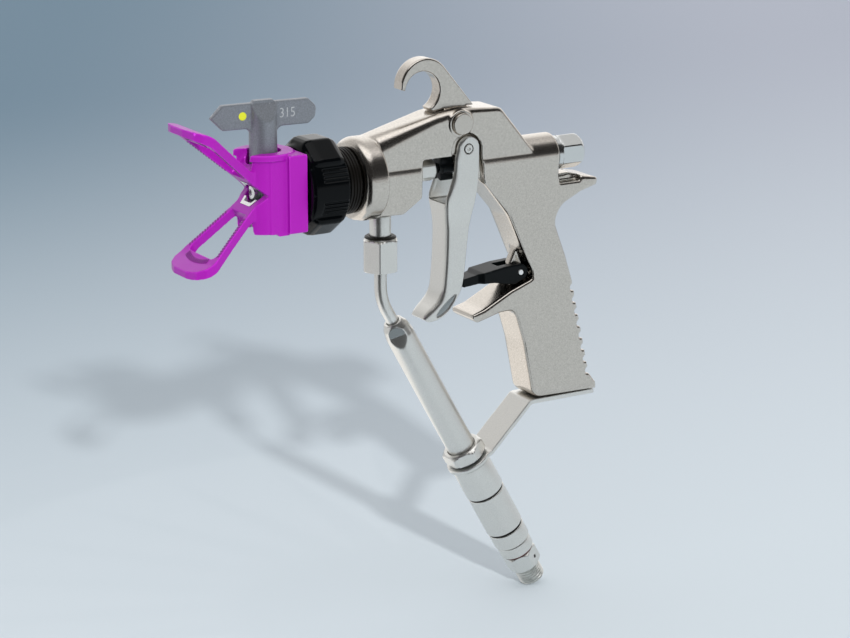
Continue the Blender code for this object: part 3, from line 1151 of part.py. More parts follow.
def main():
    clear_scene()
    crown_x, crown_z = HOOK_INNER[0], HOOK_INNER[1] + HOOK_INNER_R
    datum = empty("barrel_datum", (-crown_x, 0.0, -crown_z))
    line = empty("line_axis", (NIPPLE_X, 0.0, LINE_KNEE_Z), (0.0, pi / 2 + LINE_LEAN, 0.0), datum)
    make_gun_body(datum)
    make_hook(datum)
    make_hook_pin(datum)
    make_head(datum)
    make_needle(datum)
    make_packing(datum)
    make_spring(datum)
    make_rear_cap(datum)
    make_retaining_nut(datum)
    make_tip_guard(datum)
    make_tip(datum)
    make_tip_seals(datum)
    make_trigger(datum)
    make_lock(datum)
    shoulder = make_nipple(datum)
    make_pipe(datum, shoulder)
    make_filter(line)
    make_inlet(line)
    make_bracket(datum, line)


main()
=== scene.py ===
"""Airless paint spray gun: finished surfaces, materials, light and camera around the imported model.

Shapes are written in millimetres from the barrel datum: x = 0 on the front face of the head collar, z = 0 on the
needle's axis, +X the spray direction, +Y the gun's left side. placed() turns them into metres in the frame.
"""
from math import atan2, cos, hypot, pi, radians, sin, tan

import bmesh
import bpy
import numpy as np
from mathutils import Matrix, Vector


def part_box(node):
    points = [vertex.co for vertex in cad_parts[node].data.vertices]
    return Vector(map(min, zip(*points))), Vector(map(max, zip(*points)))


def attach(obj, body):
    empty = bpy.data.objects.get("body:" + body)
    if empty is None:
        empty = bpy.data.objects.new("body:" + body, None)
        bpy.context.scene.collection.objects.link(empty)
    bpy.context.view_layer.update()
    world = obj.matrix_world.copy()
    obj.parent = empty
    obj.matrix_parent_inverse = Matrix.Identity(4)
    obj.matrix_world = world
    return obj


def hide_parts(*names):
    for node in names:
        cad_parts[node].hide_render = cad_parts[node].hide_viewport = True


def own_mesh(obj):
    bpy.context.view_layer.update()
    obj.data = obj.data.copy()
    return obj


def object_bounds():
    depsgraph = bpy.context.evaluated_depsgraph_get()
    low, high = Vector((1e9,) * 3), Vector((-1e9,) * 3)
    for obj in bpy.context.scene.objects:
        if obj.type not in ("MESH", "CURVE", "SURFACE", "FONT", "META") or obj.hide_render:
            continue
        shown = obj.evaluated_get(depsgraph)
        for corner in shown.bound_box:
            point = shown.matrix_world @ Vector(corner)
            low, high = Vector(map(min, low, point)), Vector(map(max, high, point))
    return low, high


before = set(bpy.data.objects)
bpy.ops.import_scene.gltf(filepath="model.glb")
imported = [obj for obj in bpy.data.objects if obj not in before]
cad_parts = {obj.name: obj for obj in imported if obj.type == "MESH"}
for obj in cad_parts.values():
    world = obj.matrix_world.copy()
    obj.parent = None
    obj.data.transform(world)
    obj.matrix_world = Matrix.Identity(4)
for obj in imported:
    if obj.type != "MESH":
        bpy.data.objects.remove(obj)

CAD_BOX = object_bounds()
MM = 0.001

# ---------------------------------------------------------------- datum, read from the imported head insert
HEAD_FRONT = 13.0
head_low, head_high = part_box("fluid_head")
DATUM = np.array([head_high.x - HEAD_FRONT * MM, 0.0, (head_low.z + head_high.z) / 2])

# ---------------------------------------------------------------- body
BODY_HALF = 10.0
BARREL_R = 10.65
BARREL_BACK = -113.4
COLLAR_R = 20.2
COLLAR_LENGTH = 11.5
COLLAR_FILLET = 4.5
RIDGE_FRONT_Z = 20.5
RIDGE_KNEE = (-44.0, 28.0)
RIDGE_TOP = (-58.0, 29.7)
SLAB_TOP_REAR = (-79.7, 28.0)
RIM_ROLL = 2.6
RIM_SMALL = 0.8
GRIP_BOTTOM_Z = -120.8
GRIP_HEEL_X = -137.2
TEETH = 8
TOOTH_TOP = (-122.2, -64.0)
TOOTH_BOTTOM = (-133.4, -114.5)
TOOTH_DEPTH = 1.8
WINDOW_TOP_Z = 7.0
WINDOW_FRONT_X = -36.2
WINDOW_BACK_X = -64.5
FLAT_Z = -18.6

# ---------------------------------------------------------------- nut, guard and tip
NUT_BACK = 6.9
NUT_FRONT = 28.5
NUT_R = 20.3
GUARD_BACK = 14.2
FLANGE_BACK = 29.4
FLANGE_FRONT = 38.8
FLANGE_HALF_Y = 15.2
FLANGE_HALF_Z = 18.3
WAIST_FRONT = 40.4
WAIST_HALF_Y = 12.8
TIP_X = 44.1
BLOCK_R = 12.6
BLOCK_RIM_R = 14.0
BLOCK_HALF_Z = 19.3
TIP_R = 6.5
TIP_BORE_R = 8.2
TIP_LOWER_BORE_R = 7.2
TIP_TURN = radians(-5)
TIP_PLATE_T = 3.2
TIP_PLATE_Z = (30.0, 41.8)
TIP_REACH = 26.2
WING_APEX = 48.0
WING_SLOPE = radians(41)
WING_T = 5.5
WING_BEND_X = 79.6
WING_TIP = (88.2, 31.2)
WING_ROOT_HALF = 8.6
WING_END_HALF = 16.4
MOUTH = np.array([(-7.6, 0), (-4.4, -5.3), (4.4, -5.3), (7.6, 0), (4.4, 5.3), (-4.4, 5.3)])

# ---------------------------------------------------------------- trigger, lock and hook
PIVOT = (-61.4, 9.8)
PIVOT_R = 2.1
EAR_R = 6.0
EAR_OUT = 9.6
SHEET = 1.8
FOOT_HALF = 7.8
LOCK_PIN = (-93.2, -55.6)
LOCK_HALF = 7.5
HOOK_PIN = (-56.6, 22.7)
HOOK_HALF = 4.0

# ---------------------------------------------------------------- fluid line
NIPPLE_X = -18.0
KNEE_Z = -60.3
LEAN = radians(29.3)
PIPE_R = 3.05
PIPE_BEND_R = 26.0
HOUSING_R = 7.1
HOUSING_END = 112.0
HEAD_FLAT = 5.1
HEAD_FLAT_END = 24.0
HEAD_FLAT_TURN = radians(35)
SCREW_XS = (-109.5, -126.5)

# ---------------------------------------------------------------- meshing
FINE = 128              # points round a turned piece
ARC_STEPS = 8
ROLL_STEPS = 8


# ---------------------------------------------------------------- places
def axes(origin, along, side):
    """A local frame: its origin, and its three axes as rows: along, side, and the third square to both."""
    along = np.asarray(along, float) / np.linalg.norm(along)
    side = np.asarray(side, float) / np.linalg.norm(side)
    return np.asarray(origin, float), np.stack([along, side, np.cross(along, side)])


BARREL = axes((0, 0, 0), (1, 0, 0), (0, 1, 0))
DOWN = axes((NIPPLE_X, 0, 0), (0, 0, -1), (0, 1, 0))
LINE = axes((NIPPLE_X, 0, KNEE_Z), (-sin(LEAN), 0, -cos(LEAN)), (0, 1, 0))
TIP = axes((TIP_X, 0, 0), (0, 0, 1), (cos(TIP_TURN), sin(TIP_TURN), 0))
HANDLE = axes((TIP_X, 0, 0), (cos(TIP_TURN), sin(TIP_TURN), 0), (-sin(TIP_TURN), cos(TIP_TURN), 0))


def across(point):
    """A frame whose first axis runs across the gun through an (x, z) point."""
    return axes((point[0], 0, point[1]), (0, 1, 0), (-1, 0, 0))


def below(x):
    """A frame that points straight down at one x, its stations counted from the barrel's axis."""
    return axes((x, 0, 0), (0, 0, -1), (0, 1, 0))


def placed(points, place=None):
    """Millimetres in a local frame, or from the datum, to metres in the shared frame."""
    points = np.asarray(points, float)
    if place is not None:
        points = place[0] + points @ place[1]
    return points * MM + DATUM


# ---------------------------------------------------------------- outlines and profiles
def rounded(corners, steps=ARC_STEPS):
    """Outline through (u, v, radius, extra) corners, each one an arc tangent to its two sides.
    The rows it gives are u, v, extra."""
    points = []
    count = len(corners)
    for i, (u, v, radius, extra) in enumerate(corners):
        if radius <= 0:
            points.append([(u, v, extra)])
            continue
        au, av = corners[i - 1][0] - u, corners[i - 1][1] - v
        bu, bv = corners[(i + 1) % count][0] - u, corners[(i + 1) % count][1] - v
        start = atan2(av, au)
        opening = (atan2(bv, bu) - start + pi) % (2 * pi) - pi
        reach = min(abs(radius / tan(opening / 2)), 0.48 * hypot(au, av), 0.48 * hypot(bu, bv))
        radius = reach * abs(tan(opening / 2))
        middle = start + opening / 2
        far = hypot(radius, reach)
        cu, cv = u + far * cos(middle), v + far * sin(middle)
        first = atan2(v + reach * sin(start) - cv, u + reach * cos(start) - cu)
        sweep = (atan2(v + reach * sin(start + opening) - cv, u + reach * cos(start + opening) - cu) - first + pi)
        a = first + (sweep % (2 * pi) - pi) * np.linspace(0, 1, steps + 1)
        points.append(np.stack([cu + radius * np.cos(a), cv + radius * np.sin(a), np.full(steps + 1, extra)], 1))
    return np.concatenate([np.asarray(p, float) for p in points])


def refined(outline, step):
    """The closed outline with extra points, so that no side is longer than step."""
    rows = []
    for here, there in zip(outline, np.roll(outline, -1, 0)):
        pieces = max(1, int(np.ceil(np.linalg.norm((there - here)[:2]) / step)))
        share = np.arange(pieces)[:, None] / pieces
        rows.append(here + (there - here) * share)
    return np.concatenate(rows)


def inset(outline, share):
    """Each outline point moved inward along its mitre by share of its own roll (the third column)."""
    before = outline[:, :2] - np.roll(outline, 1, 0)[:, :2]
    after = np.roll(outline, -1, 0)[:, :2] - outline[:, :2]
    area = np.sum(np.roll(outline, 1, 0)[:, 0] * outline[:, 1] - outline[:, 0] * np.roll(outline, 1, 0)[:, 1])
    side = 1.0 if area > 0 else -1.0
    normals = []
    for edge in (before, after):
        length = np.maximum(np.linalg.norm(edge, axis=1, keepdims=True), 1e-9)
        normals.append(np.stack([-edge[:, 1], edge[:, 0]], 1) / length * side)
    spread = np.maximum(1 + np.sum(normals[0] * normals[1], 1, keepdims=True), 0.5)
    return outline[:, :2] + share * outline[:, 2:3] * (normals[0] + normals[1]) / spread


def soft_min(a, b, k=0.10):
    """The smaller of two lengths, blended over about k where they cross."""
    return -k * np.logaddexp(-np.asarray(a) / k, -np.asarray(b) / k)


def flats(count, half, phase=0.0):
    """Limit on the radius round a prism of count flats, each at a distance half from the axis."""
    def limit(s, angle):
        turn = 2 * pi / count
        off = (angle - phase + turn / 2) % turn - turn / 2
        return soft_min(half / np.cos(off), half / cos(turn / 2) - 0.12) + 0 * s
    return limit


def between(limit, low, high, soft=0.25):
    """The limit holds only between two stations, and runs out over a short curve at each end."""
    def partial(s, angle):
        outside = np.maximum(np.maximum(low - s, s - high), 0.0)
        return limit(s, angle) + outside / soft
    return partial


# ---------------------------------------------------------------- meshes
def mesh_object(name, verts, faces):
    """A mesh object whose doubles are merged and whose faces point outward."""
    mesh = bpy.data.meshes.new(name)
    mesh.from_pydata(verts, [], faces)
    shape = bmesh.new()
    shape.from_mesh(mesh)
    bmesh.ops.remove_doubles(shape, verts=shape.verts, dist=1e-7)
    bmesh.ops.recalc_face_normals(shape, faces=shape.faces)
    shape.to_mesh(mesh)
    shape.free()
    thing = bpy.data.objects.new(name, mesh)
    bpy.context.scene.collection.objects.link(thing)
    return thing


def skin(name, rings, place=None, loop=False):
    """Quads between successive rings of points; flat ends, or a loop that closes on itself."""
    rings = np.asarray(rings, float)
    count, width = rings.shape[:2]
    index = np.arange(count * width).reshape(count, width)
    here = index if loop else index[:-1]
    there = np.roll(index, -1, 0) if loop else index[1:]
    quads = np.stack([here, np.roll(here, -1, 1), np.roll(there, -1, 1), there], -1).reshape(-1, 4).tolist()
    if not loop:
        quads += [index[0].tolist(), index[-1].tolist()]
    return mesh_object(name, placed(rings.reshape(-1, 3), place), quads)


def lathe(name, corners, place=BARREL, sides=FINE, limits=(), step=0.0, relief=None, trim=None):
    """Turned piece: (s, radius, fillet) corners make a closed half section, whose points (s, r) go round the
    first axis as (s, r cos a, r sin a). Each limit(s, a) keeps the radius under a flat, relief(s, a, r) carves
    threads and lobes, and trim(points) cuts the ends back."""
    half = rounded([(s, r, fillet, 0) for s, r, fillet in corners], steps=5)[:, :2]
    if step:
        half = refined(half, step)
    s, r = half[:, :1], half[:, 1:]
    angle = 2 * pi * np.arange(sides)[None, :] / sides
    radius = r + 0 * angle
    for limit in limits:
        radius = np.where(radius > 0.3, soft_min(radius, limit(s, angle)), radius)
    if relief:
        radius = relief(s, angle, radius)
    rings = np.stack([s + 0 * angle, radius * np.cos(angle), radius * np.sin(angle)], -1)
    if trim:
        rings = trim(rings)
    return skin(name, rings, place, loop=True)


def rod(name, radius, low, high, place, sides=48):
    """A plain round bar along a frame's first axis."""
    return lathe(name, [(low, 0, 0), (high, 0, 0), (high, radius, 0), (low, radius, 0)], place, sides)


def prism(name, outline, low, high, axis="Y", place=None):
    """A flat outline carried along one axis."""
    outline = np.asarray(outline, float)
    level = [np.full(len(outline), v) for v in (low, high)]
    order = {"Y": lambda k: (outline[:, 0], k, outline[:, 1]), "X": lambda k: (k, outline[:, 0], outline[:, 1]),
             "Z": lambda k: (outline[:, 0], outline[:, 1], k)}[axis]
    return skin(name, [np.stack(order(k), 1) for k in level], place)


def slab(name, outline, half, steps=ROLL_STEPS, place=None):
    """The outline carried across the gun; both rims roll over on a quarter circle of each point's own roll."""
    near = []
    for a in np.linspace(0, pi / 2, steps + 1):
        flat = inset(outline, 1 - sin(a))
        near.append(np.stack([flat[:, 0], half - outline[:, 2] * (1 - cos(a)), flat[:, 1]], 1))
    far = [ring * (1, -1, 1) for ring in reversed(near)]
    return skin(name, near + far, place)


def box(name, low, high, place=None):
    corners = np.array([(low[0], low[1]), (high[0], low[1]), (high[0], high[1]), (low[0], high[1])])
    return skin(name, [np.c_[corners, np.full(4, z)] for z in (low[2], high[2])], place)


def drop(*things):
    for thing in things:
        bpy.data.objects.remove(thing, do_unlink=True)


def baked(thing, name, extras=()):
    """The object as its modifiers leave it, as a plain mesh object; the helpers go."""
    bpy.context.view_layer.update()
    mesh = bpy.data.meshes.new_from_object(thing.evaluated_get(bpy.context.evaluated_depsgraph_get()))
    mesh.name = name
    drop(thing, *extras)
    made = bpy.data.objects.new(name, mesh)
    bpy.context.scene.collection.objects.link(made)
    return made


def boolean(thing, others, operation):
    """One exact Boolean of the object with all the others together."""
    group = bpy.data.collections.new(f"{thing.name}_{operation.lower()}")
    for other in others:
        group.objects.link(other)
    step = thing.modifiers.new(operation, "BOOLEAN")
    step.operation = operation
    step.solver = "EXACT"
    step.operand_type = "COLLECTION"
    step.collection = group


def machined(name, body, cuts=(), adds=()):
    """A piece whose edges stay as cut."""
    if adds:
        boolean(body, adds, "UNION")
    if cuts:
        boolean(body, cuts, "DIFFERENCE")
    return baked(body, name, [*adds, *cuts])


def cast(name, body, adds=(), cuts=(), keep=(), voxel=0.5, passes=4):
    """A forging or moulding: shells united, cutters taken out, then an even skin of quads relaxed a few times."""
    if adds:
        boolean(body, adds, "UNION")
    for tool in keep:
        boolean(body, [tool], "INTERSECT")
    if cuts:
        boolean(body, cuts, "DIFFERENCE")
    remesh = body.modifiers.new("skin", "REMESH")
    remesh.mode = "VOXEL"
    remesh.voxel_size = voxel * MM
    relax = body.modifiers.new("relax", "SMOOTH")
    relax.factor = 0.5
    relax.iterations = passes
    return baked(body, name, [*adds, *keep, *cuts])


def finished(piece, material, body, *nodes, slot=None, sharp=32):
    """Shade the piece, give it its finish, and say which body it rides on and which nodes it replaces; slot is not
    used.
    """
    mesh = piece.data
    mesh.materials.clear()
    mesh.materials.append(material)
    mesh.shade_smooth()
    if sharp:
        mesh.set_sharp_from_angle(angle=radians(sharp))
    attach(piece, body)
    if nodes:
        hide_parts(*nodes)
    return piece


# ---------------------------------------------------------------- shader groups
def shader_group(name, inputs, outputs, build):
    """A node group with float inputs (name, value) and the named float or vector outputs."""
    tree = bpy.data.node_groups.new(name, "ShaderNodeTree")
    for label, value in inputs:
        socket = tree.interface.new_socket(label, in_out="INPUT", socket_type="NodeSocketFloat")
        socket.default_value = value
    for label in outputs:
        tree.interface.new_socket(label, in_out="OUTPUT", socket_type="NodeSocketFloat")
    source = tree.nodes.new("NodeGroupInput")
    target = tree.nodes.new("NodeGroupOutput")
    build(tree, source, target)
    return tree


def math_node(tree, operation, a, b=None, c=None):
    node = tree.nodes.new("ShaderNodeMath")
    node.operation = operation
    for slot, value in zip(node.inputs, (a, b, c)):
        if value is None:
            continue
        if isinstance(value, (int, float)):
            slot.default_value = value
        else:
            tree.links.new(value, slot)
    return node.outputs[0]


def object_noise(tree, **settings):
    """Noise on the piece's own coordinates, with the named inputs set."""
    noise = tree.nodes.new("ShaderNodeTexNoise")
    tree.links.new(tree.nodes.new("ShaderNodeTexCoord").outputs["Object"], noise.inputs["Vector"])
    for label, value in settings.items():
        noise.inputs[label].default_value = value
    return noise


def mix_colours(tree, share, first, second):
    """The first colour where share is 0 and the second where it is 1; each is a colour or another node's output."""
    mix = tree.nodes.new("ShaderNodeMix")
    mix.data_type = "RGBA"
    tree.links.new(share, mix.inputs[0])
    for slot, colour in ((6, first), (7, second)):
        if isinstance(colour, tuple):
            mix.inputs[slot].default_value = (*colour, 1.0)
        else:
            tree.links.new(colour, mix.inputs[slot])
    return mix.outputs[2]


def build_grain(tree, source, target):
    """Fine speckle: two octaves of noise at the given size, as a value round 0.5."""
    noise = object_noise(tree, Detail=2.0, Roughness=0.6)
    scale = math_node(tree, "DIVIDE", 1000.0, source.outputs["Size mm"])
    tree.links.new(scale, noise.inputs["Scale"])
    centred = math_node(tree, "SUBTRACT", noise.outputs[0], 0.5)
    value = math_node(tree, "MULTIPLY_ADD", centred, source.outputs["Depth"], 0.5)
    tree.links.new(value, target.inputs["Value"])


def build_wear_and_highlight(tree, source, target):
    """Mask of rims and corners, brightened partly as wear from handling and partly as a painted highlight along the
    edges, broken up by a coarse noise.
    """
    edge = tree.nodes.new("ShaderNodeNewGeometry").outputs["Pointiness"]
    ramp = tree.nodes.new("ShaderNodeMapRange")
    tree.links.new(edge, ramp.inputs["Value"])
    ramp.inputs["From Min"].default_value = 0.515
    ramp.inputs["From Max"].default_value = 0.600
    broken = math_node(tree, "MULTIPLY_ADD", object_noise(tree, Scale=90.0).outputs[0], 0.8, 0.5)
    mask = math_node(tree, "MULTIPLY", ramp.outputs[0], broken)
    tree.links.new(math_node(tree, "MULTIPLY", mask, source.outputs["Amount"]), target.inputs["Mask"])


def build_smudge(tree, source, target):
    """Broad, faint patches where hands and cloths have dulled the surface."""
    noise = object_noise(tree, Scale=45.0, Detail=4.0, Distortion=0.6)
    centred = math_node(tree, "SUBTRACT", noise.outputs[0], 0.5)
    tree.links.new(math_node(tree, "MULTIPLY", centred, source.outputs["Amount"]), target.inputs["Value"])


GRAIN = shader_group("fine_grain", [("Size mm", 0.5), ("Depth", 1.0)], ["Value"], build_grain)
WEAR_AND_HIGHLIGHT = shader_group("rim_wear_and_highlight", [("Amount", 1.0)], ["Mask"], build_wear_and_highlight)
SMUDGE = shader_group("hand_smudge", [("Amount", 0.2)], ["Value"], build_smudge)


def use_group(tree, group, **values):
    node = tree.nodes.new("ShaderNodeGroup")
    node.node_tree = group
    for label, value in values.items():
        node.inputs[label.replace("_", " ")].default_value = value
    return node.outputs[0]


def surface(name, colour, roughness, metallic=0.0, rim=None, grain_mm=0.45, grain=0.10, bump=0.02,
            wear_and_highlight=0.6, smudge=0.12, specular=0.5):
    """A finish: colour mottled by fine grain, rims tinted towards rim (partly wear, partly a painted highlight),
    roughness varied by smudges, and the grain as bump (its depth in millimetres)."""
    made = bpy.data.materials.new(name)
    made.use_nodes = True
    tree = made.node_tree
    shader = tree.nodes["Principled BSDF"]
    shader.inputs["Metallic"].default_value = metallic
    shader.inputs["Specular IOR Level"].default_value = specular
    speck = use_group(tree, GRAIN, Size_mm=grain_mm, Depth=1.0)
    dark = tuple(c * (1 - grain) for c in colour)
    light = tuple(min(1.0, c * (1 + grain)) for c in colour)
    base = mix_colours(tree, speck, dark, light)
    if rim:
        base = mix_colours(tree, use_group(tree, WEAR_AND_HIGHLIGHT, Amount=wear_and_highlight), base, rim)
    tree.links.new(base, shader.inputs["Base Color"])
    patches = use_group(tree, SMUDGE, Amount=smudge)
    tree.links.new(math_node(tree, "ADD", patches, roughness), shader.inputs["Roughness"])
    relief = tree.nodes.new("ShaderNodeBump")
    relief.inputs["Strength"].default_value = 1.0
    relief.inputs["Distance"].default_value = bump * MM
    tree.links.new(speck, relief.inputs["Height"])
    tree.links.new(relief.outputs[0], shader.inputs["Normal"])
    return made


# The rim colours of these finishes brighten edges partly as wear and partly as a painted highlight.
FORGED = surface("forged_nickel", (0.60, 0.555, 0.50), 0.21, 1.0, rim=(0.88, 0.86, 0.81),
                 grain_mm=0.6, grain=0.34, bump=0.018, smudge=0.08)
BLASTED = surface("blasted_steel", (0.72, 0.71, 0.675), 0.31, 0.95, rim=(0.86, 0.87, 0.86),
                  grain_mm=0.5, grain=0.14, bump=0.014, smudge=0.08)
# Dark steel laid over facets and chamfers as painted shade: it stands in for dark reflections and shade, not for
# the steel's own colour.
PAINTED_SHADE_STEEL = surface("painted_shade_steel", (0.34, 0.36, 0.36), 0.40, 0.95, grain_mm=0.5,
                       grain=0.12, bump=0.025)
STEEL = surface("polished_steel", (0.66, 0.67, 0.66), 0.20, 1.0, rim=(0.82, 0.84, 0.85),
                grain=0.04, bump=0.004)
THREAD = surface("thread_steel", (0.72, 0.72, 0.69), 0.30, 0.95, grain=0.08, bump=0.004)
NUT_BLACK = surface("nut_plastic", (0.0012, 0.0016, 0.0020), 0.14, rim=(0.012, 0.014, 0.016),
                    grain=0.2, bump=0.003, wear_and_highlight=0.5, smudge=0.06, specular=0.12)
LEVER_BLACK = surface("lever_plastic", (0.0018, 0.0026, 0.0030), 0.36,
                      rim=(0.02, 0.024, 0.027), grain=0.25, bump=0.02, specular=0.15)
RUBBER = surface("ring_rubber", (0.006, 0.005, 0.004), 0.42, grain=0.2, bump=0.010, smudge=0.2,
                 specular=0.22)
# The guard's bright magenta rims are a painted highlight along its edges.
PURPLE = surface("guard_plastic", (0.385, 0.0040, 0.41), 0.38, rim=(0.80, 0.07, 0.85),
                 grain_mm=0.5, grain=0.05, bump=0.008, wear_and_highlight=0.8, specular=0.32)
TIP_GREY = surface("tip_steel", (0.235, 0.25, 0.275), 0.42, 0.55, rim=(0.46, 0.49, 0.51),
                   grain_mm=0.7, grain=0.34, bump=0.022)
CARBIDE = surface("carbide", (0.80, 0.81, 0.80), 0.22, 0.9, grain=0.04, bump=0.003)
SEAL_WHITE = surface("seal_plastic", (0.55, 0.54, 0.50), 0.50, grain=0.04, bump=0.006)
SEAL_RED = surface("seal_rubber", (0.075, 0.012, 0.010), 0.5, grain=0.2, bump=0.01)
PURPLE_MARK = surface("guard_mark", (0.18, 0.003, 0.20), 0.5, grain=0.05, bump=0.01)
DOT_YELLOW = surface("dot_paint", (0.70, 0.72, 0.02), 0.45, grain=0.04, bump=0.006)
PRINT_PALE = surface("pale_print", (0.36, 0.38, 0.39), 0.5, grain=0.25, bump=0.004)
PIN_PALE = surface("pin_steel", (0.74, 0.75, 0.75), 0.35, 0.6, grain=0.05, bump=0.004)
MESH_SCREEN = surface("screen_steel", (0.55, 0.56, 0.56), 0.30, 1.0, grain=0.1, bump=0.01)


# ---------------------------------------------------------------- gun body
def grip_teeth():
    """Ratchet teeth down the back of the grip: slanted lead-in, inner wall, ledge and land, eight times."""
    top, bottom = np.array(TOOTH_TOP), np.array(TOOTH_BOTTOM)
    run = (bottom - top) / np.linalg.norm(bottom - top)
    inward = np.array([-run[1], run[0]])
    pitch = np.linalg.norm(bottom - top) / TEETH
    steps = ((0.10, 0.0), (0.26, TOOTH_DEPTH), (0.62, TOOTH_DEPTH), (0.66, 0.0))
    return [(*(top + run * (k + share) * pitch + inward * depth), 0.0, 0.5) for k in range(TEETH)
            for share, depth in steps]


def body_outline():
    """Side view of the forging as (x, z, radius, roll): top, horn and back, teeth, heel, spur, throat, window.
    A fillet stays larger than its roll, or the inset outline crosses itself."""
    top = [(-6.0, RIDGE_FRONT_Z - 1.2, 0, 8.8), (*RIDGE_KNEE, 30, 4.6), (*RIDGE_TOP, 20, 2.6),
           (*SLAB_TOP_REAR, 4.5, 1.8), (-103.3, -1.0, 0, 1.0), (BARREL_BACK, -1.2, 0, 1.0),
           (BARREL_BACK, -10.2, 0, 1.0), (-122.5, -9.7, 4, 2.8), (-136.4, -12.6, 1.5, 0.8),
           (-135.6, -16.2, 1.6, 0.8)]
    back = [(-126.4, -18.9, 10, 1.6), (-115.5, -24.7, 10, RIM_ROLL), (-111.7, -32.0, 8, RIM_ROLL),
            (-119.0, -51.0, 30, RIM_ROLL)]
    heel = [(GRIP_HEEL_X, -117.8, 2, 0.8), (GRIP_HEEL_X, GRIP_BOTTOM_Z, 0, 0.8),
            (-100.0, GRIP_BOTTOM_Z, 6, RIM_ROLL), (-93.8, -90.5, 30, RIM_ROLL), (-88.4, -73.8, 4.5, RIM_ROLL)]
    spur = [(-80.0, -74.2, 10, RIM_ROLL), (-66.6, -77.0, 1.6, 0.9), (-62.4, -73.4, 1.8, 0.9),
            (-71.0, -70.9, 10, 1.4), (-86.2, -63.6, 0, 1.0), (-99.3, -59.0, 2, RIM_SMALL),
            (-98.4, -54.5, 0, RIM_SMALL), (-95.2, -48.5, 0, 1.4), (-84.5, -25.5, 12, RIM_ROLL)]
    front = [(-66.0, -3.0, 1.5, 1.0), (WINDOW_BACK_X, WINDOW_TOP_Z, 1.2, RIM_SMALL),
             (WINDOW_FRONT_X, WINDOW_TOP_Z, 1.0, RIM_SMALL), (-35.5, -11.2, 0, RIM_SMALL),
             (-25.2, -18.0, 1.2, 1.0), (-6.0, -17.4, 0, 1.0)]
    return rounded(top + back + grip_teeth() + heel + spur + front)


def body_cutters():
    """Bores, the hook's slot, the spot face, the pin holes, and on each side the recesses for heads and ears."""
    cuts = [rod("bore_head", 8.9, -21.2, 5, BARREL), rod("bore_needle", 5.2, -38.2, -20.2, BARREL),
            rod("bore_rear", 6.4, -115.4, -62.5, BARREL), rod("bore_inlet", 4.5, 6, 22, DOWN),
            box("spot_face", (-25, -30, -26), (-2, 30, FLAT_Z)),
            box("hook_slot", (-63.5, -4.3, 15.9), (-50.7, 4.3, 40)),
            rod("hook_pin_hole", 3.3, -20, 20, across(HOOK_PIN)), rod("pivot_hole", 2.4, -20, 20, across(PIVOT)),
            rod("lock_pin_hole", 1.6, -6, 6, across(LOCK_PIN))]
    cuts += [rod("grip_screw_hole", 2.3, -GRIP_BOTTOM_Z - 11, -GRIP_BOTTOM_Z + 2, below(x)) for x in SCREW_XS]
    floor = EAR_OUT - SHEET - 0.6
    px, pz, pr = -60.2, 9.2, 8.3
    swing = [(px - pr + 0.3, pz), (px - pr - 0.6, 1.0), (px - pr - 2.0, -8.8), (px + pr, -8.8),
             (px + pr - 1.0, pz - 1)]
    for side in (1, -1):
        reach = sorted((side * floor, side * 20))
        cuts.append(rod("head_recess", 5.4, *sorted((side * 10.2, side * 13.2)), across(HOOK_PIN)))
        cuts.append(rod("ear_pocket", pr, *reach, across((px, pz)), 96))
        cuts.append(prism("ear_swing", swing, *reach))
        inner = sorted((side * 5.0, side * 20))
        cuts.append(box("horn_notch", (-126.2, inner[0], -13.1), (BARREL_BACK - 0.3, inner[1], 15)))
    return cuts


def make_gun_body():
    """The forging: a rolled slab with a turned barrel and collar, a boss for the hook and a lug for the lock."""
    body = slab("body_slab", body_outline(), BODY_HALF)
    barrel = lathe("barrel", [(-5, 0, 0), (-5, BARREL_R, 0), (BARREL_BACK, BARREL_R, 0.5), (BARREL_BACK, 0, 0)],
                   sides=96, step=8)
    back = 0.9
    window = prism("barrel_window", [(WINDOW_BACK_X - back, WINDOW_TOP_Z + back),
                                     (WINDOW_FRONT_X + back, WINDOW_TOP_Z + back), (-34.6, -30), (-89, -30),
                                     (-66.9, -3)], -20, 20)
    barrel = machined("barrel_cut", barrel, [window])
    rear = -COLLAR_LENGTH
    collar = lathe("collar", [(0, 0, 0), (0, COLLAR_R, COLLAR_FILLET), (rear, COLLAR_R, 0.9), (rear - 3, 12.5, 1.5),
                              (rear - 3, 0, 0)], sides=160)
    boss = lathe("boss", [(-11.2, 0, 0), (-11.2, 6.4, 0.5), (11.2, 6.4, 0.5), (11.2, 0, 0)], across(HOOK_PIN), 96)
    lug = prism("lug", [(-97.5, -43.0), (-93.0, -44.8), (-89.3, -53.0), (-88.5, -58.5), (-90.5, -64.0),
                        (-101.0, -60.0)], -2.5, 2.5)
    body = cast("forged_body", body, [barrel, collar, boss, lug], body_cutters(), voxel=0.63, passes=3)
    finished(body, FORGED, "gun", "gun_body", sharp=0)


def ridge_height(x):
    """Top of the slab between the knee and its rear corner."""
    return float(np.interp(-x, [-RIDGE_KNEE[0], -RIDGE_TOP[0], -SLAB_TOP_REAR[0]],
                           [RIDGE_KNEE[1], RIDGE_TOP[1], SLAB_TOP_REAR[1]]))


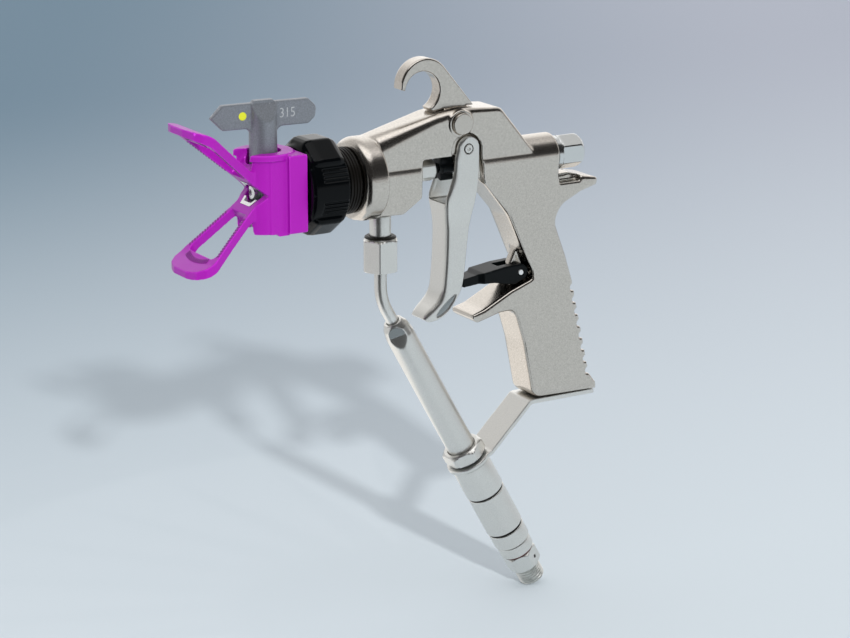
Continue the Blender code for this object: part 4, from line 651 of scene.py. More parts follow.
def make_hook():
    """Crescent hook on a foot that follows the ridge, with a tongue down into the body's slot."""
    roll = 0.9
    a = np.radians(np.linspace(-3, 140, 70))
    outer = np.stack([-41.0 + 13.3 * np.cos(a), 41.0 + 13.3 * np.sin(a), np.full(70, roll)], 1)
    a = np.radians(np.linspace(246, 6, 90))
    inner = np.stack([-39.3 + 9.4 * np.cos(a), 38.7 + 9.4 * np.sin(a), np.full(90, roll)], 1)
    base = [(-67.6, 0.5), (-63.2, 0.5), (-63.2, None), (-51.0, None), (-51.0, 0.3), (-44.8, 0.3)]
    foot = [(x, 16.2 if lift is None else ridge_height(x) + lift, 0.4) for x, lift in base]
    hook = slab("hook_slab", np.concatenate([outer, foot, inner]), HOOK_HALF, 5)
    hook = cast("hook", hook, cuts=[rod("hook_eye", 3.3, -10, 10, across(HOOK_PIN))], voxel=0.36, passes=3)
    finished(hook, FORGED, "gun", "hanging_hook", sharp=0)
    seat, out = 10.5, 12.6
    pin = lathe("hook_pin_turned", [(-out, 0, 0), (-out, 5.1, 0.5), (-seat, 5.1, 0.1), (-seat, 3, 0), (seat, 3, 0),
                                    (seat, 5.1, 0.1), (out, 5.1, 0.5), (out, 0, 0)], across(HOOK_PIN), 96)
    finished(pin, FORGED, "gun", "hook_pin")


# ---------------------------------------------------------------- head, needle and rear cap
def make_head():
    """Head insert with its chamber, the ribbed ring round its neck, and the carbide seat."""
    head = lathe("head_insert", [(-13.2, 4, 0), (-13.2, 8.6, 0.4), (0.3, 8.6, 0), (0.3, 13.2, 0.3), (13, 13.2, 0.5),
                                 (13, 5.3, 0.2), (6.2, 5.3, 0), (6.2, 4, 0)])
    finished(head, STEEL, "gun", "fluid_head")
    ribs = [(0.6, 13.5, 0), (0.6, 15.9, 0.7)]
    for s in (2.1, 3.6, 5.1):
        ribs += [(s - 0.45, 15.9, 0.15), (s - 0.15, 15.3, 0.12), (s + 0.15, 15.3, 0.12), (s + 0.45, 15.9, 0.15)]
    ring = lathe("ribbed_ring", ribs + [(6.6, 15.9, 0.7), (6.6, 13.5, 0)])
    finished(ring, RUBBER, "gun", "collar_ring", sharp=0)
    seat = lathe("seat_insert", [(6.5, 2.8, 0), (6.5, 5, 0.2), (12.7, 5, 0.2), (12.7, 1.4, 0.1), (8.5, 1.4, 0)],
                 sides=96)
    finished(seat, CARBIDE, "gun", "valve_seat")


def make_needle():
    """Rod with its ball, the star-shaped setting nut and the plunger."""
    centre, ball = 4.4, 2.8
    a = np.linspace(2.23, 0.0, 24)
    arc = [(centre + ball * cos(t), ball * sin(t), 0) for t in a]
    rod_body = lathe("needle_turned", [(-65.5, 0, 0), (-65.5, 2.2, 0.2), *arc], sides=64)
    finished(rod_body, STEEL, "needle", "needle_rod", sharp=40)

    def lobes(s, angle, r):
        return np.where(r > 3.5, r * (0.86 + 0.14 * np.cos(6 * angle)), r)
    star = lathe("star_nut", [(-56.2, 2.5, 0), (-56.2, 6.4, 0.5), (-49.5, 6.4, 0.5), (-49.5, 2.5, 0)], relief=lobes)
    finished(star, LEVER_BLACK, "needle", "needle_star", sharp=40)
    plunger = lathe("plunger", [(-70.5, 1.2, 0), (-70.5, 6, 0.3), (-62.4, 6, 0.5), (-62.4, 2.5, 0), (-66, 2.5, 0),
                                (-66, 1.2, 0)], sides=96)
    finished(plunger, STEEL, "needle", "needle_plunger")


def make_packing():
    """Stack of seals and the six-sided nut that presses on them."""
    vees = [(-32.5, 2.6, 0)]
    for s in (-32.5, -30.0, -27.5):
        vees += [(s, 4.9, 0.1), (s + 2.2, 4.9, 0.1), (s + 2.35, 4.5, 0.1)]
    seals = lathe("packing_vees", vees + [(-25.0, 4.9, 0.1), (-25.0, 2.6, 0)], sides=96)
    finished(seals, SEAL_WHITE, "gun", "packing_seals")
    nut = lathe("packing_hexagon", [(-46.2, 2.6, 0), (-46.2, 5.0, 0.1), (-45.5, 5.8, 0.1), (-36.5, 5.8, 0.1),
                                    (-36.5, 4.9, 0), (-32.8, 4.9, 0.2), (-32.8, 2.6, 0)],
                limits=[between(flats(6, 5.0), -46.2, -36.4)])
    finished(nut, BLASTED, "gun", "packing_nut")


def coil(name, start, end, mean, wire, curls, per_curl=40, sides=12):
    """Helix about the barrel's axis: its centre turns at the mean radius while s runs from start to end, and the
    wire's circle stands on the radial direction and on the direction square to it and to the run."""
    t = np.linspace(0, 2 * pi * curls, per_curl * curls + 1)[:, None]
    s = start + (end - start) * t / t[-1]
    rise = (end - start) / t[-1, 0]
    radial = np.concatenate([0 * t, np.cos(t), np.sin(t)], 1)
    run = np.concatenate([0 * t + rise, -mean * np.sin(t), mean * np.cos(t)], 1)
    run /= np.linalg.norm(run, axis=1, keepdims=True)
    square = np.cross(radial, run)
    a = 2 * pi * np.arange(sides)[None, :, None] / sides
    centre = np.concatenate([s, mean * np.cos(t), mean * np.sin(t)], 1)
    return skin(name, centre[:, None] + wire * (np.cos(a) * radial[:, None] + np.sin(a) * square[:, None]))


def make_spring_and_cap():
    """Return spring, and the domed six-sided cap with its round shoulder and washer."""
    spring = finished(coil("return_spring", -71.5, -102.8, 4.4, 0.7, 8), STEEL, "gun", "needle_spring", sharp=60)
    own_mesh(spring)
    front, back = BARREL_BACK - 0.4, BARREL_BACK - 17.6
    cap = lathe("domed_cap", [(front + 10, 0, 0), (front + 10, 6.1, 0.4), (front, 6.1, 0), (front, 8.25, 0.35),
                              (front - 3.4, 8.25, 0.25), (front - 3.7, 8.75, 0), (back, 8.75, 5.0), (back, 0, 0)],
                limits=[between(flats(6, 7.5), back - 1, front - 3.8, 0.35)], step=1.2)
    finished(cap, STEEL, "gun", "rear_cap", sharp=28)
    washer = lathe("cap_washer", [(front + 0.05, 6.8, 0), (front + 0.05, 9.9, 0.1), (front + 0.35, 9.9, 0.1),
                                  (front + 0.35, 6.8, 0)])
    finished(washer, RUBBER, "gun")


# ---------------------------------------------------------------- retaining nut
def nut_lobe(sign):
    """Bevelled lobe: a flat top between two slanted flats, pulled towards the axis at both ends."""
    full = rounded([(-18.3, 14.2, 2.5, 0), (-6.4, 22.7, 4.0, 0), (6.4, 22.7, 4.0, 0), (18.3, 14.2, 2.5, 0),
                    (15.3, 10.0, 0, 0), (-15.3, 10.0, 0, 0)], 8)[:, :2]
    length = np.linalg.norm(full, axis=1, keepdims=True)
    rings = []
    for x, down in ((9.0, 2.8), (10.8, 1.2), (13.0, 0.1), (15.0, 0.0), (22.4, 0.0), (24.6, 0.4), (26.2, 1.4),
                    (27.2, 2.8)):
        scale = (length - np.where(full[:, 1:] > 11, down, 0)) / length
        ring = full * scale
        rings.append(np.stack([np.full(len(ring), x), ring[:, 0], sign * ring[:, 1]], 1))
    return skin("nut_lobe", rings)


def make_nut():
    """Hand nut: a round body, a bevelled lobe above and below, grip grooves beside each lobe, and its bore."""
    nut = lathe("nut_round", [(NUT_BACK, 0, 0), (NUT_BACK, NUT_R - 3.4, 0.5), (NUT_BACK + 3, NUT_R, 1.0),
                              (NUT_FRONT - 1.4, NUT_R, 0.8), (NUT_FRONT, NUT_R - 1.4, 0.8), (NUT_FRONT, 0, 0)],
                sides=160)
    bore = lathe("nut_bore", [(4.9, 0, 0), (4.9, 13.5, 0), (13.3, 13.5, 0), (13.3, 14.6, 0), (18.0, 14.6, 0),
                              (18.0, 12.3, 0), (30.5, 12.3, 0), (30.5, 0, 0)], sides=96)
    cuts = [bore]
    for side in (1, -1):
        for sign in (1, -1):
            for k in range(4):
                a = radians(15) + k * 1.9 / NUT_R
                place = axes((0, side * NUT_R * cos(a), sign * NUT_R * sin(a)), (1, 0, 0), (0, 1, 0))
                cuts.append(lathe("grip_groove", [(8.1, 0, 0), (8.1, 0.65, 0.3), (23.0, 0.65, 0.3), (23.0, 0, 0)],
                                  place, 16))
    nut = cast("hand_nut_moulding", nut, [nut_lobe(1), nut_lobe(-1)], cuts, voxel=0.38, passes=3)
    finished(nut, NUT_BLACK, "hand_nut", "retaining_nut", sharp=0)


# ---------------------------------------------------------------- guard and tip
def wing_height(x):
    """Height of the upper wing's inner face."""
    return (x - WING_APEX) * tan(WING_SLOPE)


def make_wings():
    """Two wings that leave the block at the wing slope and flatten at their tips, trimmed to a spade in plan."""
    bend = (WING_BEND_X, wing_height(WING_BEND_X))
    side_view = [(43.0, 0.0, 0, 0), (WING_APEX, 0.0, 0, 0), (*bend, 12, 0), (*WING_TIP, 0.5, 0),
                 (WING_TIP[0] + 0.2, WING_TIP[1] + 3.6, 0.9, 0), (bend[0] - 1.2, bend[1] + WING_T - 0.8, 14, 0),
                 (56.0, wing_height(56.0) + WING_T, 2, 0), (43.0, 8.0, 0, 0)]
    profile = rounded(side_view)[:, :2]
    upper = prism("wing_upper", profile, -20, 20)
    lower = prism("wing_lower", profile * (1, -1), -20, 20)
    half = [(40.0, WING_ROOT_HALF, 0), (50.0, WING_ROOT_HALF, 3), (55.0, 9.1, 3), (61.0, 10.8, 6), (67.0, 12.6, 6),
            (77.5, WING_END_HALF, 3.5), (82.5, 15.9, 3), (86.2, 12.4, 3.2), (88.15, 5.8, 4)]
    plan = rounded([(x, y, r, 0) for x, y, r in half] + [(x, -y, r, 0) for x, y, r in reversed(half)], 5)[:, :2]
    boolean(upper, [lower], "UNION")
    outline = prism("wing_plan", plan, -50, 50, "Z")
    boolean(upper, [outline], "INTERSECT")
    return baked(upper, "wings", [lower, outline])


def wing_cutters():
    """Tapered windows square to the wings' inner faces."""
    nx, nz = -sin(WING_SLOPE), cos(WING_SLOPE)
    x0, x1, h0, h1 = 57.3, 77.4, 6.8, 13.6
    outline = rounded([(x0, -h0, 1.2, 0), (x1, -h1, 2.6, 0), (x1, h1, 2.6, 0), (x0, h0, 1.2, 0)], 6)
    cuts = []
    for sign in (1, -1):
        rings = [np.stack([outline[:, 0] + nx * reach, outline[:, 1],
                           sign * (wing_height(outline[:, 0]) + nz * reach)], 1) for reach in (-8, 16)]
        cuts.append(skin("wing_window", rings))
    return cuts


def guard_openings():
    """The tip's bore, the bores of the neck, the six-sided mouth and the wings' windows."""
    mouth = [(y, z, 0.5, 0) for y, z in MOUTH]
    return [rod("tip_bore", TIP_BORE_R, 12, 30, TIP, 96), rod("tip_bore_low", TIP_LOWER_BORE_R, -30, 14, TIP, 96),
            rod("gasket_bore", 8.3, 9.2, 22, BARREL, 96), rod("seat_bore", 6.0, 20, TIP_X, BARREL, 64),
            prism("spray_mouth", rounded(mouth, 4)[:, :2], TIP_X, 70, "X"), *wing_cutters()]


def make_guard():
    """Tip guard: wings, the round block with its rims and cheeks, the waist, the flange and the neck."""
    upright = axes((TIP_X, 0, 0), (0, 0, 1), (1, 0, 0))
    column = lathe("guard_column", [(-BLOCK_HALF_Z + 1.2, 0, 0), (-BLOCK_HALF_Z + 1.2, BLOCK_R, 0.6),
                                    (BLOCK_HALF_Z - 1, BLOCK_R, 0), (BLOCK_HALF_Z - 1, 0, 0)], upright)
    reach = WING_APEX + 20
    notch = prism("column_notch", [(WING_APEX - 0.2, 0), (reach, wing_height(reach)), (reach, -wing_height(reach))],
                  -20, 20)
    column = machined("guard_column_cut", column, [notch])
    rim = lathe("guard_rim", [(BLOCK_HALF_Z - 3, 0, 0), (BLOCK_HALF_Z - 3, BLOCK_RIM_R, 0.3),
                              (BLOCK_HALF_Z, BLOCK_RIM_R, 0.5), (BLOCK_HALF_Z, 0, 0)], upright)
    cheeks = box("guard_cheeks", (WAIST_FRONT - 1, -BLOCK_R - 0.1, -BLOCK_HALF_Z + 1.1),
                 (TIP_X + 3, BLOCK_R + 0.1, BLOCK_HALF_Z - 1.4))
    waist = box("guard_waist", (FLANGE_FRONT - 1, -WAIST_HALF_Y, -BLOCK_HALF_Z + 0.2),
                (WAIST_FRONT + 3, WAIST_HALF_Y, BLOCK_HALF_Z - 0.2))
    square = rounded([(y * FLANGE_HALF_Y, z * FLANGE_HALF_Z, 0.8, 0)
                      for y, z in ((-1, -1), (1, -1), (1, 1), (-1, 1))], 4)
    flange = prism("guard_flange", square[:, :2], FLANGE_BACK, FLANGE_FRONT, "X")
    neck = lathe("guard_neck", [(GUARD_BACK, 0, 0), (GUARD_BACK, 14.2, 0.3), (17.6, 14.2, 0.3), (17.6, 11.9, 0),
                                (FLANGE_BACK + 1, 11.9, 0), (FLANGE_BACK + 1, 0, 0)])
    guard = cast("guard_moulding", make_wings(), [column, rim, cheeks, waist, flange, neck], guard_openings(),
                 voxel=0.40, passes=2)
    finished(guard, PURPLE, "guard", "tip_guard", sharp=0)


def make_mouth_liner():
    """Pale metal sleeve in the six-sided mouth, trimmed back to the wings' inner faces."""
    sleeve = prism("mouth_sleeve", MOUTH * 0.985, TIP_X + 6.8, 56, "X")
    hollow = prism("mouth_hollow", MOUTH * 0.76, TIP_X, 60, "X")
    reach = WING_APEX + 20
    notch = prism("sleeve_notch", [(WING_APEX + 0.2, 0), (reach, wing_height(reach - 0.2)),
                                   (reach, -wing_height(reach - 0.2))], -20, 20)
    liner = machined("mouth_liner", sleeve, [hollow, notch])
    finished(liner, CARBIDE, "guard", slot="polished_steel")


def make_wing_ribs():
    """Rows of fine raised ribs along the wings' window margins and across their ends: boxes on the inner face,
    each one placed by its distance x along the wing, its y, its turn, its length and its width."""
    rows = [(x, side * (6.4 + (x - 57.3) / 19.7 * 6.4 + 1.75), side * 18, 1.7, 0.55)
            for side in (1, -1) for x in np.arange(59.5, 76.0, 1.15)]
    rows += [(80.6 - 0.018 * y * y, y, 90 + 2.2 * y, 2.4, 0.6) for y in np.arange(-9.6, 9.7, 1.2)]
    x, y, turn, length, width = np.array(rows).T
    turn = np.radians(turn + 90)
    corner = np.array([(-1, -1), (1, -1), (1, 1), (-1, 1)]) / 2
    u = corner[None, :, 0] * length[:, None]
    v = corner[None, :, 1] * width[:, None]
    px = x[:, None] + u * np.cos(turn)[:, None] - v * np.sin(turn)[:, None]
    py = y[:, None] + u * np.sin(turn)[:, None] + v * np.cos(turn)[:, None]
    wings = []
    for sign in (1, -1):
        for lift in (0.3, -0.22):
            base = np.interp(px, [WING_APEX, WING_BEND_X, WING_TIP[0]], [0, wing_height(WING_BEND_X), WING_TIP[1]])
            wings.append(np.stack([px, py, sign * (base + lift)], -1))
    points = np.stack([np.stack(wings[:2], 1), np.stack(wings[2:], 1)]).reshape(-1, 8, 3)
    index = np.arange(len(points))[:, None, None] * 8
    faces = np.array([(0, 1, 2, 3), (4, 5, 6, 7), (0, 1, 5, 4), (1, 2, 6, 5), (2, 3, 7, 6), (3, 0, 4, 7)])
    ribs = mesh_object("wing_ribs", placed(points.reshape(-1, 3)), (index + faces[None]).reshape(-1, 4).tolist())
    finished(ribs, PURPLE_MARK, "guard")


def handle_outline():
    """Front view of the cross handle: an arrow at one end, a blunt round at the other, filleted to the shaft."""
    low, high = TIP_PLATE_Z
    middle = (low + high) / 2
    return rounded([(TIP_REACH, middle, 0.5, 0.5), (TIP_REACH - 5.8, high, 0.8, 0.5),
                    (-TIP_REACH + 4, high, 1.5, 0.5), (-TIP_REACH, middle + 2, 3, 0.5),
                    (-TIP_REACH + 0.5, middle - 3, 3, 0.5),
                    (-TIP_REACH + 4, low, 1, 0.5), (-TIP_R + 0.2, low, 3.5, 0.5), (-TIP_R + 0.2, low - 7, 0, 0.1),
                    (TIP_R - 0.2, low - 7, 0, 0.1), (TIP_R - 0.2, low, 3.5, 0.5), (TIP_REACH - 6, low, 0.8, 0.5)])


def make_tip():
    """Reversible tip: a round shaft that thins in two slopes into the cross handle, with a bore across it for
    the orifice."""
    low, high = TIP_PLATE_Z
    shaft = lathe("tip_shaft", [(-16.5, 0, 0), (-16.5, TIP_R, 0.6), (high - 0.8, TIP_R, 0.4),
                                (high + 1, TIP_R - 1.8, 0.3), (high + 1, 0, 0)], TIP, 96)
    plate = slab("tip_plate", handle_outline(), TIP_PLATE_T / 2, 4, HANDLE)
    cuts = [rod("orifice_bore", 3.5, -10, 10, HANDLE), rod("front_pocket", 5.4, 2.4, 10, HANDLE)]
    for side in (1, -1):
        slope = [(side * (TIP_R + 3), low - 1), (side * (TIP_R + 3), high + 6),
                 (side * (TIP_PLATE_T / 2 - 0.1), high + 6), (side * (TIP_PLATE_T / 2 + 0.2), high - 0.5),
                 (side * (TIP_R + 0.2), low + 3)]
        cuts.append(prism("tip_slope", slope, -12, 12, "X", HANDLE))
    shaft = machined("tip_shaft_cut", shaft, cuts[2:])
    tip = cast("tip_forging", shaft, [plate], cuts[:2], voxel=0.30, passes=3)
    finished(tip, TIP_GREY, "tip", "reversible_tip", sharp=0)
    face = TIP_R + 0.3

    def inside_bore(points):
        """The orifice's ends follow the shaft's round, a little proud of it."""
        reach = np.sqrt(face ** 2 - points[..., 1] ** 2)
        points[..., 0] = np.clip(points[..., 0], -reach, reach)
        return points
    cone = lathe("orifice_insert", [(-TIP_R + 0.4, 1.4, 0.1), (-TIP_R + 0.4, 3.2, 0.2), (face, 3.2, 0.5),
                                    (face, 1.6, 0.2), (face - 2.6, 0.6, 0.1), (0, 0.6, 0)], HANDLE, 96, step=0.5,
                 trim=inside_bore)
    finished(cone, CARBIDE, "tip", "spray_orifice")


def make_tip_marks():
    """A painted dot on one arm of the cross handle and a plain number on the other, both on the near face."""
    middle = (TIP_PLATE_Z[0] + TIP_PLATE_Z[1]) / 2
    out = TIP_PLATE_T / 2
    dot = lathe("paint_dot", [(out - 0.2, 0, 0), (out - 0.2, 1.9, 0), (out + 0.08, 1.9, 0.06), (out + 0.08, 0, 0)],
                axes(HANDLE[0] + np.array([10.6, 0, middle + 0.2]) @ HANDLE[1], HANDLE[1][1], HANDLE[1][0]), 64)
    finished(dot, DOT_YELLOW, "tip")
    curve = bpy.data.curves.new("size_number", "FONT")
    curve.body = "315"
    curve.size = 6.4
    curve.extrude = 0.04
    curve.align_x = curve.align_y = "CENTER"
    text = bpy.data.objects.new("size_number", curve)
    bpy.context.scene.collection.objects.link(text)
    number = baked(text, "size_print")
    points = np.empty(len(number.data.vertices) * 3)
    number.data.vertices.foreach_get("co", points)
    points = points.reshape(-1, 3)
    place = np.stack([-11.6 - points[:, 0] * 0.86, out + 0.02 + points[:, 2], middle + points[:, 1]], 1)
    number.data.vertices.foreach_set("co", placed(place, HANDLE).ravel())
    finished(number, PRINT_PALE, "tip")


def make_tip_seals():
    """Gasket and metal seat in the guard's neck."""
    seat = lathe("seat_sleeve", [(22.2, 2.2, 0), (22.2, 5.7, 0.3), (37.2, 5.7, 0.3), (37.2, 2.2, 0.2)], sides=96)
    finished(seat, STEEL, "guard", "tip_seat")
    gasket = lathe("gasket_ring", [(13.3, 2.4, 0), (13.3, 8, 0.3), (21.7, 8, 0.3), (21.7, 2.4, 0)], sides=96)
    finished(gasket, SEAL_WHITE, "guard", "tip_gasket")


# ---------------------------------------------------------------- trigger and lock
TRIGGER_EDGES = np.array([
    (-54.3, 5.0, -67.3, 4.5, 9.6), (-53.7, -2.0, -67.1, -3.3, 9.6), (-51.2, -9.5, -66.2, -11.3, 9.6),
    (-49.3, -15.2, -65.1, -17.5, 9.2), (-50.0, -23.0, -64.0, -24.0, 8.0), (-50.6, -30.4, -62.7, -31.0, 7.8),
    (-50.2, -44.0, -61.2, -44.2, 7.8), (-49.2, -56.0, -60.0, -54.0, 7.8), (-48.4, -60.0, -58.6, -59.5, 7.8),
    (-46.7, -63.2, -56.0, -64.0, 7.8), (-44.2, -65.8, -52.6, -68.6, 7.8), (-41.8, -67.8, -48.2, -71.9, 7.6),
    (-39.8, -69.8, -44.0, -73.3, 7.2), (-38.4, -72.0, -41.0, -73.7, 6.4)])


def trigger_stations(fine=90):
    """Front and rear edge and half width down the blade: a round ear above the pin, then the drawn stations,
    joined by a cubic through every station (each span weighs its four nearest)."""
    a = np.radians(np.linspace(76, 4, 16))[:, None]
    px, pz = PIVOT
    ear = np.hstack([px + EAR_R * np.cos(a), pz + EAR_R * np.sin(a), px - EAR_R * np.cos(a), pz + EAR_R * np.sin(a),
                     np.full_like(a, EAR_OUT)])
    rows = np.vstack([[px + EAR_R, pz, px - EAR_R, pz, EAR_OUT], TRIGGER_EDGES])
    padded = np.vstack([2 * rows[0] - rows[1], rows, 2 * rows[-1] - rows[-2]])
    t = np.linspace(0, len(rows) - 1 - 1e-6, fine)
    k = t.astype(int)
    f = (t - k)[:, None]
    p0, p1, p2, p3 = padded[k], padded[k + 1], padded[k + 2], padded[k + 3]
    blade = 0.5 * (2 * p1 + (p2 - p0) * f + (2 * p0 - 5 * p1 + 4 * p2 - p3) * f ** 2
                   + (3 * p1 - p0 - 3 * p2 + p3) * f ** 3)
    return np.vstack([ear, blade])


def channel_ring(front, rear, half):
    """U section between a front and a rear edge: a web in front, a plate each side, round where they meet."""
    length = np.linalg.norm(rear - front)
    u = (rear - front) / length
    bend = min(2.6, 0.45 * length)
    web = min(SHEET, 0.5 * length)
    hollow = max(bend - web, 0.4)
    a = np.linspace(0, pi / 2, 7)
    outer = np.stack([bend * (1 - np.sin(a)), half - bend * (1 - np.cos(a))], 1)
    inner = np.stack([web + hollow * (1 - np.sin(a)), half - SHEET - hollow * (1 - np.cos(a))], 1)
    side = np.vstack([[(length, half)], outer])
    back = np.vstack([[(length, half - SHEET)], inner])
    section = np.vstack([side, side[::-1] * (1, -1), back * (1, -1), back[::-1]])
    return np.stack([front[0] + u[0] * section[:, 0], section[:, 1], front[1] + u[1] * section[:, 0]], 1)


FOOT_RECESS = rounded([(-56.4, -60.4, 0.4, 0), (-54.8, -64.4, 4, 0), (-51.4, -68.6, 4, 0), (-47.6, -71.1, 4, 0),
                       (-43.6, -72.2, 0.8, 0), (-46.2, -68.4, 4, 0), (-51.0, -64.0, 4, 0)], 5)[:, :2]


def make_trigger():
    """Folded trigger: ears on the pin, a window behind the web's top edge, a crossbar, and a curled toe."""
    rings = [channel_ring(row[:2], row[2:4], row[4]) for row in trigger_stations()]
    trigger = skin("trigger_channel", rings)
    clear = EAR_OUT - SHEET - 0.2
    cuts = [box("trigger_window", (-80, -clear, -16.5), (-40, clear, 30)),
            rod("trigger_eye", PIVOT_R + 0.4, -20, 20, across(PIVOT))]
    for side in (1, -1):
        cuts.append(prism("foot_recess", FOOT_RECESS, *sorted((side * (FOOT_HALF - 0.7), side * 12))))
    bar = rod("trigger_crossbar", 1.4, -8.2, 8.2, across((-60.5, -4.6)))
    trigger = cast("trigger_pressing", trigger, [bar], cuts, voxel=0.34, passes=3)
    finished(trigger, BLASTED, "trigger_body", "trigger", sharp=0)
    # On each side a dark steel sheet lies over the foot's recess: painted shade for the dark reflection there.
    for side, label in ((1, "left"), (-1, "right")):
        shade = prism(f"foot_facet_{label}", inset(np.c_[FOOT_RECESS, np.full(len(FOOT_RECESS), 0.5)], 1),
                      *sorted((side * (FOOT_HALF - 1.0), side * (FOOT_HALF - 0.62))))
        finished(shade, PAINTED_SHADE_STEEL, "trigger_body")
    out = EAR_OUT + 0.2
    pin = lathe("pivot_pin", [(-out, 0, 0), (-out, PIVOT_R, 0.3), (out, PIVOT_R, 0.3), (out, 0.9, 0.2),
                              (out - 0.4, 0.5, 0.1), (out - 0.4, 0, 0)], across(PIVOT), 64)
    finished(pin, BLASTED, "gun", "trigger_pin")


def make_lock():
    """Fork lever: two cheeks astride the body's lug and a narrower tongue that stands behind the trigger's web."""
    px, pz = LOCK_PIN
    a = np.radians(np.linspace(85, 265, 24))
    hub = [(x, z, 0, 0.7) for x, z in zip(px + 4.2 * np.cos(a), pz + 4.2 * np.sin(a))]
    shape = [(-90.5, -61.2, 2, 0.7), (-88.8, -61.3, 2, 0.7), (-84.0, -60.3, 6, 0.7), (-78.2, -59.1, 6, 0.7),
             (-71.5, -58.8, 4, 0.7), (-69.0, -59.1, 2, 0.7), (-61.6, -59.7, 0.5, 0.7), (-61.6, -55.6, 0.5, 0.7),
             (-69.0, -54.5, 3, 0.7), (-72.2, -53.4, 3, 0.7), (-84.0, -51.8, 8, 0.7)]
    lever = slab("lock_slab", rounded(hub + shape), LOCK_HALF, 5)
    cuts = [box("lock_slot", (-105, -2.9, -72), (-82.6, 2.9, -40)), rod("lock_eye", 1.7, -12, 12, across(LOCK_PIN))]
    for side in (1, -1):
        cuts.append(prism("lock_side", [(-73.3, side * 8.5), (-70.0, side * 4.9), (-50.0, side * 4.9),
                                        (-50.0, side * 8.5)], -70, -45, "Z"))
    lever = cast("lock_lever_moulding", lever, cuts=cuts, voxel=0.30, passes=2)
    finished(lever, LEVER_BLACK, "lock_lever", "trigger_lock", sharp=0)
    out = LOCK_HALF + 0.2
    pin = lathe("lock_pivot", [(-out, 0, 0), (-out, 1.3, 0.2), (out, 1.3, 0.2), (out, 0, 0)], across(LOCK_PIN), 48)
    finished(pin, PIN_PALE, "gun", "lock_pin")


# ---------------------------------------------------------------- fluid line
def make_nipple():
    """Nipple under the spot face, and the six-sided union nut with a turned chamfer at each end."""
    foot = 0.3 - FLAT_Z
    nipple = lathe("nipple_turned", [(10, 2.2, 0), (10, 4.2, 0.3), (foot, 4.2, 0), (foot, 5.2, 0.3),
                                     (34.5, 5.2, 0.3), (34.5, 2.2, 0)], DOWN, 96)
    finished(nipple, BLASTED, "gun", "fluid_nipple")
    nut = lathe("union_hexagon", [(29.2, 5.5, 0.1), (29.2, 7.2, 0.1), (30.4, 7.9, 0.15), (31.3, 9.3, 0.1),
                                  (45.5, 9.3, 0.1), (46.0, 8.4, 0.1), (46.0, 3.35, 0.1), (41.0, 3.35, 0),
                                  (41.0, 5.5, 0)], DOWN, 180, limits=[flats(6, 8.0)], step=1.5)
    finished(nut, BLASTED, "gun", "union_nut", sharp=24)
    # A thin dark rubber ring on the union nut's top: painted shade for the dark reflection along the nut's top.
    ring = lathe("union_painted_shade_ring", [(28.7, 5.4, 0), (28.7, 6.5, 0.2), (29.3, 7.5, 0.1), (30.0, 7.6, 0.1),
                                  (30.0, 5.4, 0)], DOWN, 96)
    finished(ring, RUBBER, "gun")


def make_pipe():
    """Feed pipe: circles square to a path that runs down, turns on the bend's radius by the lean, and runs on."""
    reach = PIPE_BEND_R * tan(LEAN / 2)
    knee = KNEE_Z + reach
    ferrule = [(-34.8, 0.0, 4.5), (-35.1, 0.0, 4.8), (-40.5, 0.0, 4.8), (-40.7, 0.0, 4.6), (-40.7, 0.0, PIPE_R)]
    bend = [(None, a, PIPE_R) for a in np.linspace(0, LEAN, 28)]
    rows = []
    for z, a, r in ferrule + bend:
        x = NIPPLE_X if z is not None else NIPPLE_X - PIPE_BEND_R * (1 - cos(a))
        rows.append((x, z if z is not None else knee - PIPE_BEND_R * sin(a), a, r))
    end = 21.5
    rows.append((NIPPLE_X - end * sin(LEAN), KNEE_Z - end * cos(LEAN), LEAN, PIPE_R))
    rows = np.array(rows)
    inner = rows[::-1].copy()
    inner[:, 3] = 1.6
    path = np.vstack([rows, inner])
    turn = 2 * pi * np.arange(64)[None, :] / 64
    x, z, lean, r = (path[:, k:k + 1] for k in range(4))
    rings = np.stack([x + r * np.cos(turn) * np.cos(lean), r * np.sin(turn) + 0 * x,
                      z - r * np.cos(turn) * np.sin(lean)], -1)
    pipe = skin("bent_pipe", rings, loop=True)
    finished(pipe, BLASTED, "gun", "feed_pipe")


